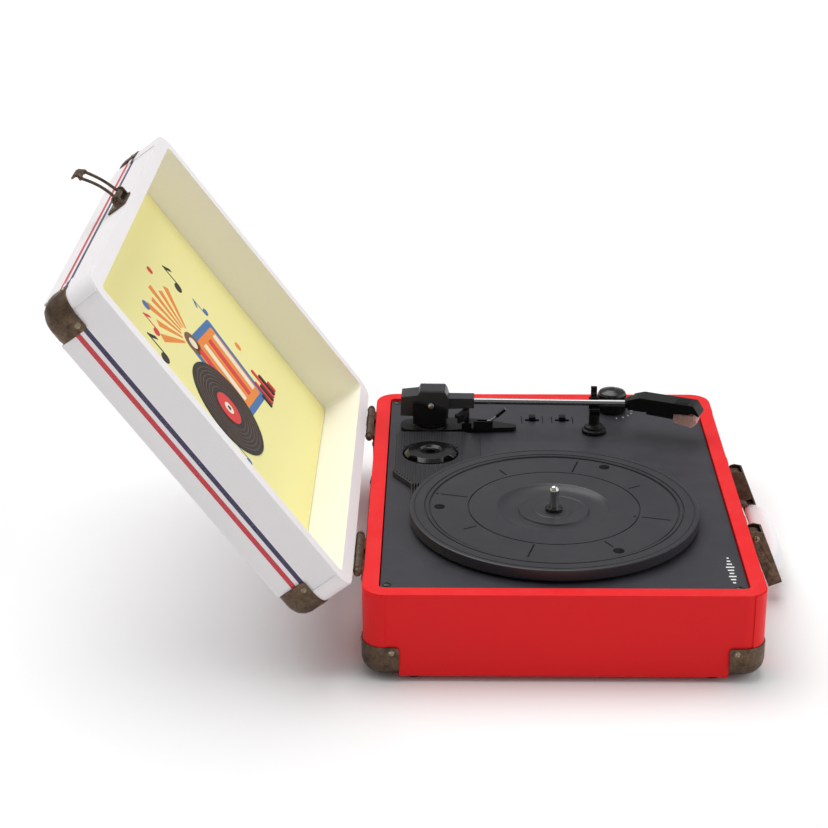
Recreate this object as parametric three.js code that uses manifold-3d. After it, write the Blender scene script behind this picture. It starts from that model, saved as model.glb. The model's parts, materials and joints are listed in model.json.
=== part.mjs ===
// Suitcase record player: a wooden case with a hinged lid, a belt-driven platter and a swinging tonearm.
// Millimetres, +Z up. X runs along the case to the tonearm side, Y runs from the handle to the hinges.
// The origin is the middle of the case's underside, and the lid stands open.

import * as THREE from 'three';
import { mergeVertices } from 'three/addons/utils/BufferGeometryUtils.js';
import Module from 'manifold-3d';

const wasm = await Module();
wasm.setup();

// Driving dimensions
const gap = 0.3;
const caseLength = 356;
const caseDepth = 267;
const baseHeight = 60.4;
const wallThickness = 10.6;
const cornerRadius = 15;
const cornerFillet = 9;
const cornerReach = 24;
const panelThickness = 4;
const lidHeight = 42;
const lidTopThickness = 4.5;
const lidOpenDeg = 126.6;
const rimGap = 0.4;
const deckTop = 58.7;
const deckThickness = 2.5;
const hingeOut = 4.3;
const hingeSpan = 116;
const platterAt = [-56.5, 2];
const platterRadius = 102.2;
const platterTop = 69;
const pulleyDistance = 80;
const pulleyDeg = 200;
const pivotAt = [109, 90];
const armHeight = 82.5;
const armRestDeg = 1.7;
const armRestReach = 127;
const headOffsetDeg = 19;
const adapterAt = [50, 90];
const knobAt = [147, -54];
const switchX = 127;
const switchYs = [10.2, -13.5];
const handlePivotOut = 8.3;
const handlePivotZ = 45;
const handleHangDeg = 22;
const capInnerX = 45;
const capWidth = 15;
const capLength = 39;
const speakerX = 118;
const speakerZ = 30.2;

const halfX = caseLength / 2;
const halfY = caseDepth / 2;
const innerX = halfX - wallThickness;
const innerY = halfY - wallThickness;
const deckBottom = deckTop - deckThickness;
const hingeY = halfY + hingeOut;
const frontY = -halfY;
const radians = THREE.MathUtils.degToRad;

// Materials, one colour and finish for each kind of surface
const finish = (color, roughness, metalness = 0) => ({ color, roughness, metalness });
const redCover = finish(0xc32a2c, 0.6);
const whiteCover = finish(0xece8e6, 0.6);
const yellowLiner = finish(0xeee38e, 0.7);
const hardboard = finish(0x6d5138, 0.85);
const charcoal = finish(0x3c3b3e, 0.55);
const blackPlastic = finish(0x1b1b1c, 0.5);
const blackGloss = finish(0x0e0e0f, 0.2);
const blackRubber = finish(0x161616, 0.9);
const bronze = finish(0x4f4032, 0.5, 0.85);
const chrome = finish(0xd8d8da, 0.12, 1);
const brass = finish(0xb08d4a, 0.3, 1);
const steel = finish(0x9a9a9c, 0.35, 1);
const paper = finish(0x232323, 0.95);
const boardGreen = finish(0x1f5a35, 0.5);
const whiteGrip = finish(0xf1eff0, 0.45);
const pinkClear = finish(0xe3b9b2, 0.15);

// Solids
function toSolid(geometry) {
  const bare = geometry.clone();
  bare.deleteAttribute('normal');
  bare.deleteAttribute('uv');
  const merged = mergeVertices(bare, 1e-4);
  const corners = Array.from(merged.index.array);
  const kept = [];
  for (let i = 0; i < corners.length; i += 3) {
    const [a, b, c] = corners.slice(i, i + 3);
    if (a !== b && b !== c && c !== a) kept.push(a, b, c);
  }
  const vertProperties = new Float32Array(merged.attributes.position.array);
  const triVerts = new Uint32Array(kept);
  return new wasm.Manifold(new wasm.Mesh({ numProp: 3, vertProperties, triVerts }));
}

function toGeometry(solid) {
  const mesh = solid.getMesh();
  const geometry = new THREE.BufferGeometry();
  geometry.setAttribute('position', new THREE.BufferAttribute(new Float32Array(mesh.vertProperties), 3));
  geometry.setIndex(new THREE.BufferAttribute(new Uint32Array(mesh.triVerts), 1));
  return geometry;
}

const join = (first, ...others) => others.reduce((sum, other) => sum.add(other), first);
const cut = (first, ...others) => others.reduce((rest, other) => rest.subtract(other), first);

// A block between two corners
function block(x0, y0, z0, x1, y1, z1) {
  const geometry = new THREE.BoxGeometry(x1 - x0, y1 - y0, z1 - z0);
  geometry.translate((x0 + x1) / 2, (y0 + y1) / 2, (z0 + z1) / 2);
  return toSolid(geometry);
}

// A standing round bar from z0 to z1, with its own radius at each end
function post(x, y, z0, z1, radius, topRadius = radius, sides = 20) {
  const geometry = new THREE.CylinderGeometry(topRadius, radius, z1 - z0, sides);
  geometry.rotateX(Math.PI / 2);
  geometry.translate(x, y, (z0 + z1) / 2);
  return toSolid(geometry);
}

// A round bar lying along X or along Y
function barX(x0, x1, y, z, radius, sides = 16) {
  const geometry = new THREE.CylinderGeometry(radius, radius, x1 - x0, sides);
  geometry.rotateZ(Math.PI / 2);
  geometry.translate((x0 + x1) / 2, y, z);
  return toSolid(geometry);
}

function barY(x, y0, y1, z, radius, sides = 16, farRadius = radius) {
  const geometry = new THREE.CylinderGeometry(farRadius, radius, y1 - y0, sides);
  geometry.translate(x, (y0 + y1) / 2, z);
  return toSolid(geometry);
}

function ball(x, y, z, radius) {
  const geometry = new THREE.SphereGeometry(radius, 10, 6);
  geometry.translate(x, y, z);
  return toSolid(geometry);
}

// A flat outline raised from z0 to z1
function slab(shape, z0, z1, segments = 8) {
  const geometry = new THREE.ExtrudeGeometry(shape, {
    depth: z1 - z0,
    bevelEnabled: false,
    curveSegments: segments,
  });
  geometry.translate(0, 0, z0);
  return toSolid(geometry);
}

// A side outline in the Y-Z plane, carried along X from x0 to x1
function profileAlongX(points, x0, x1) {
  const shape = new THREE.Shape(points.map(([y, z]) => new THREE.Vector2(y, z)));
  const geometry = new THREE.ExtrudeGeometry(shape, { depth: x1 - x0, bevelEnabled: false });
  geometry.rotateX(Math.PI / 2);
  geometry.rotateZ(Math.PI / 2);
  geometry.translate(x0, 0, 0);
  return toSolid(geometry);
}

// A turned solid on the upright line through x, y
function turned(points, x, y, segments = 48) {
  const geometry = new THREE.LatheGeometry(points.map(([r, z]) => new THREE.Vector2(r, z)), segments);
  geometry.rotateX(Math.PI / 2);
  geometry.translate(x, y, 0);
  return toSolid(geometry);
}

function roundedRectangle(width, depth, radius, x = 0, y = 0) {
  const shape = new THREE.Shape();
  const right = x + width / 2;
  const top = y + depth / 2;
  const left = x - width / 2;
  const bottom = y - depth / 2;
  shape.moveTo(left + radius, bottom);
  shape.absarc(right - radius, bottom + radius, radius, -Math.PI / 2, 0);
  shape.absarc(right - radius, top - radius, radius, 0, Math.PI / 2);
  shape.absarc(left + radius, top - radius, radius, Math.PI / 2, Math.PI);
  shape.absarc(left + radius, bottom + radius, radius, Math.PI, Math.PI * 1.5);
  return shape;
}

function polygon(points) {
  return new THREE.Shape(points.map(([x, y]) => new THREE.Vector2(x, y)));
}

function named(name, solid, look) {
  const mesh = new THREE.Mesh(toGeometry(solid), new THREE.MeshStandardMaterial(look));
  mesh.name = name;
  return mesh;
}

const sides = { left: -1, right: 1 };
const ends = { front: -1, back: 1 };

// One corner of the case, with its lower edges rounded and its faces grown outwards by clear.
// The corner's own frame: the case's edges meet at x = 0, y = 0 and its underside is z = 0.
function ballCorner(clear, height) {
  const radius = cornerRadius + clear;
  const fillet = cornerFillet + clear;
  const back = -cornerReach - cornerRadius;
  const curve = [0, 1, 2, 3, 4].map((step) => {
    const angle = (step * Math.PI) / 8;
    return [clear - fillet * (1 - Math.sin(angle)), fillet * (1 - Math.cos(angle)) - clear];
  });
  const strip = [[back, -clear], ...curve, [clear, height], [back, height]];
  const alongX = profileAlongX(strip, back, -cornerRadius);
  const alongY = alongX.rotate([0, 0, 90]).mirror([1, 0, 0]);
  const column = turned([
    [0, -clear], ...curve.map(([out, z]) => [cornerRadius + out, z]), [radius, height], [0, height],
  ], -cornerRadius, -cornerRadius, 32);
  return join(alongX, alongY, column);
}

// Rounds the four lower corners of a case half, as far as the corner pieces reach
function roundCorners(walls, height) {
  const near = block(-cornerReach, -cornerReach, -1, 1, 1, height);
  const rounded = ballCorner(0, height).intersect(near);
  let result = walls;
  for (const x of Object.values(sides)) {
    for (const y of Object.values(ends)) {
      const place = (solid) => {
        const handed = x * y > 0 ? solid : solid.mirror([1, 0, 0]);
        return handed.rotate([0, 0, y > 0 ? 0 : 180]).translate([x * halfX, y * halfY, 0]);
      };
      result = join(cut(result, place(near)), place(rounded));
    }
  }
  return result;
}

// Case base: walls, bottom board, feet
function baseShell() {
  const outer = roundCorners(slab(roundedRectangle(caseLength, caseDepth, cornerRadius), 0, baseHeight), 40);
  const inner = slab(roundedRectangle(innerX * 2, innerY * 2, 4), -1, baseHeight + 1, 4);
  let walls = cut(outer, inner);
  for (const side of Object.values(sides)) {
    walls = cut(walls, barY(side * speakerX, frontY - 1, -innerY + 1, speakerZ, 21, 24));
  }
  return cut(walls, block(-48, innerY - 1, 18, 48, halfY + 1, 38));
}

function bottomPanel() {
  const width = 2 * (innerX - gap);
  const depth = 2 * (innerY - gap);
  return slab(roundedRectangle(width, depth, 3.8), 0, panelThickness, 4);
}

const foot = (x, y) => turned([[0, -4.3], [6.2, -4.3], [7, -3.6], [7, -gap], [0, -gap]], x, y, 20);

// Stamped three-sided corner piece, in the corner's own frame
function cornerPiece() {
  const skin = 1.2;
  const height = 21.5;
  const notch = 2.5;
  const wrapped = cut(ballCorner(gap + skin, height), ballCorner(gap, height + 1));
  const near = block(-cornerReach, -cornerReach, -3, 3, 3, height + 1);
  const inside = slab(polygon([
    [-cornerReach - 1, -cornerReach - 1], [-2, -cornerReach - 1], [-cornerReach - 1, -2],
  ]), -3, height + 2);
  const sideNotch = profileAlongX([
    [-cornerReach - 1, height - notch], [-cornerReach + notch, height + 1], [-cornerReach - 1, height + 1],
  ], -cornerRadius, 4);
  const frontNotch = sideNotch.rotate([0, 0, 90]).mirror([1, 0, 0]);
  return cut(wrapped.intersect(near), inside, sideNotch, frontNotch);
}

// Deck plate that carries the works, with its openings
function deckPlate() {
  const plate = slab(
    roundedRectangle(2 * innerX - 1.4, 2 * innerY - 1.4, 3.4), deckBottom, deckTop, 4,
  );
  const [px, py] = pulleyAt();
  const holes = [
    post(...platterAt, deckBottom - 1, deckTop + 1, 6.4),
    post(px, py, deckBottom - 1, deckTop + 1, 8),
    post(...knobAt, deckBottom - 1, deckTop + 1, 4),
    post(...pivotAt, deckBottom - 1, deckTop + 1, 5),
    ...switchYs.map((y) => block(switchX - 2, y - 5.5, deckBottom - 1, switchX + 2, y + 5.5, deckTop + 1)),
  ];
  return cut(plate, ...holes);
}

// Ribbed raised moulding between the platter and the tonearm, with a round well for the adapter
function ribbedPlinth() {
  const clear = platterRadius + 1.6;
  const rightY = 52;
  const startAngle = Math.asin((rightY - platterAt[1]) / clear);
  const endAngle = radians(60);
  const shape = new THREE.Shape();
  shape.moveTo(92, rightY);
  shape.lineTo(92, 118);
  shape.lineTo(17, 118);
  shape.lineTo(-6, 104);
  shape.absarc(platterAt[0], platterAt[1], clear, endAngle, startAngle, true);
  const moulding = slab(shape, deckTop + gap, 63.2, 12);
  const ramp = profileAlongX([[rightY - 1, 59.5], [rightY + 12, 63.3], [rightY - 1, 65]], 20, 93);
  return cut(moulding, ramp, post(...adapterAt, deckTop, 70, 21.3, 21.3, 28));
}

// 45 rpm adapter: a domed puck with a centre hole and four scooped sides
function adapter() {
  const bottom = deckTop + gap;
  const puck = turned([
    [3.7, bottom], [19, bottom], [19.8, bottom + 1], [19.8, bottom + 4.5], [17, bottom + 7],
    [9, bottom + 7.4], [7.4, bottom + 6], [3.7, bottom + 6], [3.7, bottom],
  ], ...adapterAt, 28);
  const scoops = [0, 1, 2, 3].map((turn) => {
    const angle = radians(45 + 90 * turn);
    const x = adapterAt[0] + 25 * Math.cos(angle);
    const y = adapterAt[1] + 25 * Math.sin(angle);
    return post(x, y, bottom + 2.2, bottom + 9, 8, 9, 14);
  });
  return cut(puck, ...scoops);
}

// Platter, spindle and drive
function platter() {
  const floor = deckTop;
  const rim = platterRadius;
  return turned([
    [3.9, floor + 1.6], [9.5, floor + 1.6], [9.5, floor + 4.2], [60, floor + 4.2], [60, floor + 1.8],
    [64, floor + 1.8], [64, floor + 5.8], [rim - 4.3, floor + 5.8], [rim - 4.3, floor + 1.8],
    [rim - 1, floor + 1.8], [rim, floor + 2.8], [rim, platterTop - 0.9], [rim - 1.1, platterTop],
    [88.6, platterTop], [87.6, platterTop - 0.9], [40.6, platterTop - 0.9], [38, platterTop - 2.2],
    [26, platterTop - 3.5], [24.5, platterTop - 3.1], [3.9, platterTop - 3.1], [3.9, floor + 1.6],
  ], ...platterAt, 48);
}

const spindle = () => turned([
  [0, 44], [3.3, 44], [3.3, 65.9 + gap], [6.2, 65.9 + gap], [6.2, 68.2], [3.55, 68.2],
  [3.55, 81.5], [2.2, 83.8], [0, 84.5],
], ...platterAt, 16);

const bearingBush = () => turned([
  [3.7, 46], [9, 46], [9, deckBottom - gap], [6, deckBottom - gap], [6, deckTop + 0.8], [3.7, deckTop + 0.8],
  [3.7, 46],
], ...platterAt, 16);

function pulleyAt() {
  const angle = radians(pulleyDeg);
  return [
    platterAt[0] + pulleyDistance * Math.cos(angle),
    platterAt[1] + pulleyDistance * Math.sin(angle),
  ];
}

function motor() {
  const [x, y] = pulleyAt();
  const can = post(x, y, 26, deckBottom - gap - 1.2, 17.5);
  const ears = slab(roundedRectangle(52, 14, 6.9, x, y), deckBottom - gap - 1.2, deckBottom - gap);
  const shaft = post(x, y, 50, deckTop + 4.4, 1.1, 1.1, 12);
  return join(can, ears, shaft);
}

const pulley = () => turned([
  [1.4, deckTop + 0.6], [6, deckTop + 0.6], [6, deckTop + 1.2], [5, deckTop + 1.6], [5, deckTop + 4.6],
  [5.6, deckTop + 5.1], [1.4, deckTop + 5.1], [1.4, deckTop + 0.6],
], ...pulleyAt(), 16);

// Flat belt round the platter's drive ring and the motor pulley
function driveBelt() {
  const loop = (ringRadius, pulleyRadius) => {
    const shape = new THREE.Shape();
    const lean = Math.acos((ringRadius - pulleyRadius) / pulleyDistance);
    shape.absarc(0, 0, ringRadius, lean, 2 * Math.PI - lean);
    shape.absarc(pulleyDistance, 0, pulleyRadius, -lean, lean);
    return shape;
  };
  const bottom = deckTop + 2.2;
  const top = deckTop + 4.4;
  const ring = cut(slab(loop(65.1, 6.1), bottom, top, 14), slab(loop(64.4, 5.4), bottom - 1, top + 1, 14));
  return ring.rotate([0, 0, pulleyDeg]).translate([...platterAt, 0]);
}

// Tonearm stand: plate with a tongue, bearing collar, rear guard and the cueing lever's bracket
function tonearmBase() {
  const [x, y] = pivotAt;
  const shape = new THREE.Shape();
  shape.moveTo(x + 13, y + 19);
  shape.absarc(x, y + 10, 14, radians(40), radians(140));
  shape.lineTo(x - 15.4, y + 2);
  shape.absarc(x, y, 15.4, radians(175), radians(215));
  shape.lineTo(x - 8.5, y - 30);
  shape.lineTo(x - 6.5, y - 58);
  shape.absarc(x - 2, y - 62, 4.5, radians(180), radians(300));
  shape.lineTo(x + 11, y - 40);
  shape.lineTo(x + 15, y - 8);
  const bottom = deckTop + gap;
  const plate = slab(shape, bottom, bottom + 3.4);
  const collar = post(x, y, bottom + 3, bottom + 4.6, 13.5, 13, 24);
  const stub = post(x, y, deckBottom - 2, bottom + 1, 4.6, 4.6, 20);
  const bracket = block(x - 9.6, y - 48, bottom + 3, x - 4.8, y - 33, 68.6);
  const tower = block(x - 8.4, y - 31.5, bottom + 3, x + 3, y - 24, 66.6);
  const body = join(plate, collar, stub, bracket, tower);
  return cut(
    body,
    post(x, y, deckBottom - 4, bottom + 6, 2.9, 2.9, 20),
    post(x - 2.6, y - 27.8, bottom + 1, 70, 2.5, 2.5, 20),
    block(x - 8.7, y - 52, 64.5, x - 5.7, y - 36, 70),
  );
}

// Swinging gimbal: round turret on a pin, with two cheeks that hold the arm's cross pivots
function tonearmTurret() {
  const [x, y] = pivotAt;
  const cheek = [[-14, 67.5], [11, 67.5], [12, 79.5], [-10, 85], [-14, 85]];
  const nearCheek = profileAlongX(cheek.map(([dy, z]) => [y - dy, z]), x - 12, x - 9.6);
  const farCheek = profileAlongX(cheek.map(([dy, z]) => [y - dy, z]), x + 9.6, x + 12);
  const drum = post(x, y, 64.2, 70.5, 12.2, 12.2, 24);
  const pin = post(x, y, 56, 65, 2.5, 2.5, 16);
  return join(drum, pin, nearCheek, farCheek);
}

// The arm's own frame: x across, y pointing from the pivot to the head, z up, origin on the cross pivots
function tonearmBlock() {
  const side = 9.1;
  const body = profileAlongX([
    [-23.5, -9.4], [-12, -9.8], [13.5, -11.5], [14, 3], [12.5, 8], [11, 10.4],
    [-8.5, 10.4], [-10, 7.6], [-23, 6],
  ], -side, side);
  const neck = profileAlongX([[13, -4.6], [33.5, -3.7], [33.5, 4.2], [13, 4.2]], -6, 6);
  return cut(join(body, neck), barY(0, 22, 40, 0, 2.8, 16));
}

const tonearmTube = () => cut(barY(0, 22.4, 160, 0, 2.5, 16), barY(0, 24, 161, 0, 1.9, 12));

// Head: collar on the tube, then a shell turned in towards the record
function headshell() {
  const collar = join(
    profileAlongX([[152.5, -4.2], [166, -4.2], [166, 5], [163, 6], [152.5, 3.8]], -4.4, 4.4),
    barY(0, 150.5, 154, 0, 4.2, 16),
  );
  const shell = profileAlongX([
    [-4, -3.6], [8, -3.6], [8, 3.6], [44, 3.6], [46, 2], [46, 0.8], [50.4, -1.7],
    [51.4, -1], [47.5, 5], [46, 6.8], [4, 7.6], [-4, 5],
  ], -7.6, 7.6);
  const shellSides = [-1, 1].map((side) => profileAlongX(
    [[6, 4], [46, 4], [46, 0.2], [34, -1.5], [6, -3.5]], side * 7 - 0.6, side * 7 + 0.6,
  ));
  const turnedShell = placeInHead(join(shell, ...shellSides));
  return cut(join(collar, turnedShell), barY(0, 148, 160.6, 0, 2.8, 16));
}

// Head pieces are built straight ahead and then turned about the collar's end
function placeInHead(solid) {
  return solid.rotate([0, 0, -headOffsetDeg]).translate([0, 160, 0]);
}

const cartridge = () => placeInHead(join(
  profileAlongX([[9, -6], [30, -7], [30, 3.2], [9, 3.2]], -5.6, 5.6),
  profileAlongX([[29, -6.5], [40, -6.5], [42, -4], [42, 0], [29, 0]], -3.4, 3.4),
));

const stylusGuard = () => placeInHead(cut(
  profileAlongX([[30.6, -9.6], [45, -12], [48.4, -9], [49, -5.4], [45.4, -2.2], [30.6, -2]], -5.8, 5.8),
  profileAlongX([[29, -8.6], [43.6, -10.8], [46.2, -8.4], [46.2, -4.4], [42.4, 1.5], [29, 1.5]], -4.6, 4.6),
));

function armFrame() {
  const frame = new THREE.Group();
  frame.position.set(pivotAt[0], pivotAt[1], armHeight);
  frame.rotation.z = Math.PI - radians(armRestDeg);
  return frame;
}

// Arm rest: stepped foot, post and a saddle that is low on the record side
function armRestAt() {
  const angle = radians(armRestDeg);
  return [pivotAt[0] - armRestReach * Math.sin(angle), pivotAt[1] - armRestReach * Math.cos(angle)];
}

function armRest() {
  const [x, y] = armRestAt();
  const standX = x - 2.4;
  const stand = turned([
    [0, deckTop + gap], [9.5, deckTop + gap], [9.5, 62], [7.6, 62.6], [7.6, 64.4], [4.4, 65],
    [4.2, 74], [0, 74],
  ], standX, y, 20);
  const saddle = join(
    block(x - 6.2, y - 4, 73.5, x + 5.6, y + 4, 76.5),
    block(x - 6.2, y - 4, 75, x - 4.5, y + 4, 79.2),
    block(x + 3.6, y - 4, 75, x + 5.6, y + 4, 85.6),
  );
  return join(stand, saddle);
}

// Clip on the rest's far prong: stands open, and swings over the tube
function armClip() {
  const [x, y] = armRestAt();
  const eye = barY(x + 7.6, y - 2.4, y + 2.4, 86.4, 1.7, 12);
  const blade = block(x + 7.3, y - 2.4, 87, x + 8.6, y + 2.4, 92.6);
  const lip = block(x + 7.3, y - 2.4, 91.4, x + 10, y + 2.4, 92.6);
  return join(eye, blade, lip);
}

// Cueing lever with its bracket pivot, and the platform that it raises under the tube
function cueLever() {
  const x = pivotAt[0] - 7.2;
  const y = pivotAt[1] - 45;
  const z = 67.2;
  const eye = barX(x - 1.1, x + 1.1, y, z, 1.9, 16);
  const onPivot = (points) => points.map(([dy, dz]) => [y + dy, z + dz]);
  const stem = profileAlongX(onPivot([[0, -1], [0, 1], [-7.4, 7], [-8.3, 6]]), x - 0.9, x + 0.9);
  const grip = profileAlongX(onPivot([[-6.4, 4.2], [-5, 6], [-12, 12.2], [-13.4, 10.4]]), x - 2, x + 2);
  return join(eye, stem, grip);
}

function cueLift() {
  const [x, y] = pivotAt;
  const shape = new THREE.Shape();
  shape.absarc(x, y, 30, radians(282), radians(226), true);
  shape.absarc(x, y, 25.5, radians(226), radians(282), false);
  const platform = slab(shape, 75.2, 77.9);
  const web = new THREE.Shape();
  web.absarc(x, y, 28.6, radians(276), radians(230), true);
  web.absarc(x, y, 26.6, radians(230), radians(276), false);
  const rod = post(x - 2.6, y - 27.8, 65.5, 77, 2, 2, 12);
  return join(platform, slab(web, 70.6, 76), rod);
}

// Controls
const volumeKnob = () => turned([
  [0, deckTop - 6], [2.6, deckTop - 6], [2.6, deckTop + 2.2], [9, deckTop + 2.2], [9, deckTop + 1.2],
  [11, deckTop + 1.2], [11.5, deckTop + 15], [10.4, deckTop + 17.6], [5, deckTop + 19.6], [0, deckTop + 19.6],
], ...knobAt, 24);

function slideSwitch(y) {
  const stem = block(switchX - 1.5, y - 2, 50, switchX + 1.5, y + 2, deckTop + 1.5);
  const cap = block(switchX - 3.2, y - 2.6, deckTop + gap, switchX + 3.2, y + 2.6, deckTop + 3.6);
  return join(stem, cap);
}

// Works inside the case
function amplifierBoard() {
  const board = block(20, 40, 12, 110, 104, 13.6);
  const legsAt = [[26, 46], [104, 46], [26, 98], [104, 98]];
  const legs = legsAt.map(([x, y]) => post(x, y, panelThickness + gap, 12.5, 3, 3, 12));
  const parts = [
    block(30, 84, 13, 70, 90, 34),
    post(84, 60, 13, 30, 6, 6, 16),
    post(98, 60, 13, 26, 5, 5, 16),
    block(34, 50, 13, 52, 62, 17),
  ];
  return join(board, ...legs, ...parts);
}

function speaker(side) {
  const x = side * speakerX;
  const back = -innerY + gap;
  const frame = barY(x, back, back + 3, speakerZ, 24.5, 20);
  const basket = barY(x, back + 2.5, back + 14, speakerZ, 21, 20, 13);
  const magnet = barY(x, back + 13.5, back + 25, speakerZ, 14, 20);
  const cone = barY(x, back - 1, back + 9, speakerZ, 19, 20, 6);
  return cut(join(frame, basket, magnet), cone);
}

function speakerGrille(side) {
  const shape = roundedRectangle(62, 44, 8);
  const geometry = slab(shape, 0, 1.2, 4).rotate([90, 0, 0]);
  return geometry.translate([side * speakerX, frontY - gap, speakerZ]);
}

function jackPlate() {
  const plate = slab(roundedRectangle(110, 30, 4), 0, 1.6, 4).rotate([90, 0, 0])
    .translate([0, halfY + gap + 1.6, 28]);
  return cut(
    plate,
    barY(-34, halfY - 2, halfY + 4, 28, 5.2, 16),
    ...[10, 28].map((x) => barY(x, halfY - 2, halfY + 4, 28, 5.2, 16)),
    barY(-10, halfY - 2, halfY + 4, 28, 2.2, 16),
  );
}

const powerInlet = () => cut(
  barY(-34, halfY - 12, halfY + 2, 28, 4.8, 20),
  barY(-34, halfY - 6, halfY + 4, 28, 3.5, 20),
);

function audioSockets() {
  const bar = block(2, halfY - 10, 21.5, 36, halfY - 2, 34.5);
  const barrels = [10, 28].map((x) => cut(
    barY(x, halfY - 4, halfY + 1.6, 28, 4.2, 20),
    barY(x, halfY - 6, halfY + 3, 28, 2.4, 12),
  ));
  return join(bar, ...barrels);
}

// Hinges: the base leaf carries the pin and the two outer knuckles, the lid leaf has the middle knuckle
const knuckleRadius = 3;
const knuckleHalf = 8.1;
const leafInner = halfY + gap;
const leafOuter = leafInner + 1.3;

function hingeBaseLeaf(side) {
  const x = side * hingeSpan;
  const z = baseHeight;
  const leaf = block(x - 25, leafInner, z - 25, x + 25, leafOuter, z - 3.6);
  const outerKnuckles = [-16.7, 16.7].map((dx) => join(
    barX(x + dx - knuckleHalf, x + dx + knuckleHalf, hingeY, z, knuckleRadius),
    block(x + dx - knuckleHalf, leafInner, z - 4, x + dx + knuckleHalf, leafOuter + 0.4, z - 0.5),
  ));
  const pin = barX(x - 26, x + 26, hingeY, z, 1.3, 10);
  const finials = [-27, 27].map((dx) => ball(x + dx, hingeY, z, 2.7));
  return join(leaf, ...outerKnuckles, pin, ...finials);
}

function hingeLidLeaf(side) {
  const x = side * hingeSpan;
  const leaf = block(x - 25, -hingeOut + gap, 4, x + 25, -hingeOut + gap + 1.3, 24);
  const knuckle = join(
    barX(x - knuckleHalf, x + knuckleHalf, 0, 0, knuckleRadius),
    block(x - knuckleHalf, -hingeOut + gap, 0.7, x + knuckleHalf, -hingeOut + gap + 1.7, 5),
  );
  return cut(join(leaf, knuckle), barX(x - 10, x + 10, 0, 0, 1.7, 16));
}

// Lid, built shut in the hinge's own frame and then swung open
const lidTop = rimGap + lidHeight;
const lidMiddleY = -hingeOut - halfY;
const lidFrontY = -hingeOut - caseDepth;

function lidShell() {
  const tray = roundCorners(slab(roundedRectangle(caseLength, caseDepth, cornerRadius), 0, lidHeight), 30);
  const outer = tray.mirror([0, 0, 1]).translate([0, lidMiddleY, lidTop]);
  const inner = slab(
    roundedRectangle(innerX * 2, innerY * 2, 4, 0, lidMiddleY), rimGap - 1, lidTop - lidTopThickness, 4,
  );
  return cut(outer, inner);
}

function lidLiner() {
  const top = lidTop - lidTopThickness - gap;
  const width = 2 * innerX - 1;
  const depth = 2 * innerY - 1;
  return slab(roundedRectangle(width, depth, 3.6, 0, lidMiddleY), top - 1, top, 4);
}

// Latch: plate with two ears on the lid, a swinging bail, and the catch on the base
const bailOut = 6;
const bailUp = 5.4;
const bailRestDeg = 22;

function latchPlate() {
  const plate = block(-13, lidFrontY - gap - 1.2, 1, 13, lidFrontY - gap, 16);
  const pinY = lidFrontY - bailOut;
  const ears = [-11.4, 11.4].map((x) => join(
    block(x - 1.4, pinY, bailUp - 3, x + 1.4, lidFrontY - gap - 0.6, bailUp + 3),
    barX(x - 1.4, x + 1.4, pinY, bailUp, 3),
  ));
  return cut(join(plate, ...ears), barX(-20, 20, pinY, bailUp, 1.6, 16));
}

// The bail's own frame: origin on its pin, y pointing from the pin to the pull end
function latchBail() {
  const shape = roundedRectangle(19, 32, 5, 0, 15.5);
  const opening = roundedRectangle(10.5, 20, 3, 0, 14);
  shape.holes.push(opening);
  const loop = slab(shape, -1.1, 1.1, 4);
  const lip = profileAlongX([[27, -0.5], [31.2, -0.5], [33.5, -3.6], [32.6, -4.4], [29.6, -1.6]], -7, 7);
  const pin = barX(-12.4, 12.4, 0, 0, 1.2, 16);
  return join(loop, lip, pin, barX(-9.5, 9.5, 0, 0, 2.2));
}

function latchCatch() {
  const plate = block(-9, frontY - gap - 1.2, 36, 9, frontY - gap, 54);
  const lug = profileAlongX([[0, 43], [-9, 43.6], [-9, 45.4], [-6, 46.4], [0, 48]]
    .map(([dy, z]) => [frontY - gap - 0.6 + dy, z]), -3.6, 3.6);
  return join(plate, lug);
}

// Handle: a grip in two stamped end caps, each hollow behind and swinging on a lug of the case
function handleBracket(side) {
  const middle = side * (capInnerX + capWidth / 2);
  const y = frontY - gap;
  const pivotY = frontY - handlePivotOut;
  const lugRadius = 3.8;
  const lugHalf = 4.5;
  const plate = block(middle - 6.4, y - 1.2, 31, middle + 6.4, y, 57);
  const lug = join(
    block(
      middle - lugHalf, pivotY, handlePivotZ - lugRadius,
      middle + lugHalf, y - 0.6, handlePivotZ + lugRadius,
    ),
    barX(middle - lugHalf, middle + lugHalf, pivotY, handlePivotZ, lugRadius),
  );
  return cut(join(plate, lug), barX(middle - 12, middle + 12, pivotY, handlePivotZ, 1.8, 16));
}

// The handle's own frame: origin on the pivots, z pointing up its slope, hanging straight down
const capOuter = -6.4;
const capInner = 3.8;
const gripTop = -23;
const gripBottom = -capLength - 1.5;

function handleCap(side) {
  const x0 = Math.min(side * capInnerX, side * (capInnerX + capWidth));
  const x1 = x0 + capWidth;
  const skin = 1.2;
  const shell = profileAlongX([
    [capOuter, -capLength], [capInner, -capLength], [capInner, 4.4], [1.6, 5.8], [-1.6, 5.6], [capOuter, 2.4],
  ], x0, x1);
  const lugSpace = block(x0 + skin, capOuter + skin, -11, x1 - skin, capInner + 1, 8);
  const gripEnd = side > 0 ? [x0 - 1, x1 - skin] : [x0 + skin, x1 + 1];
  const socket = profileAlongX([
    [capOuter + skin, -capLength + skin], [capInner - skin, -capLength + skin],
    [capInner - skin, gripTop + 3], [capOuter + skin, gripTop + 3],
  ], ...gripEnd);
  const pin = barX(x0 - 0.4, x1 + 0.4, 0, 0, 1.4, 16);
  return join(cut(shell, lugSpace, socket), pin);
}

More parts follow.
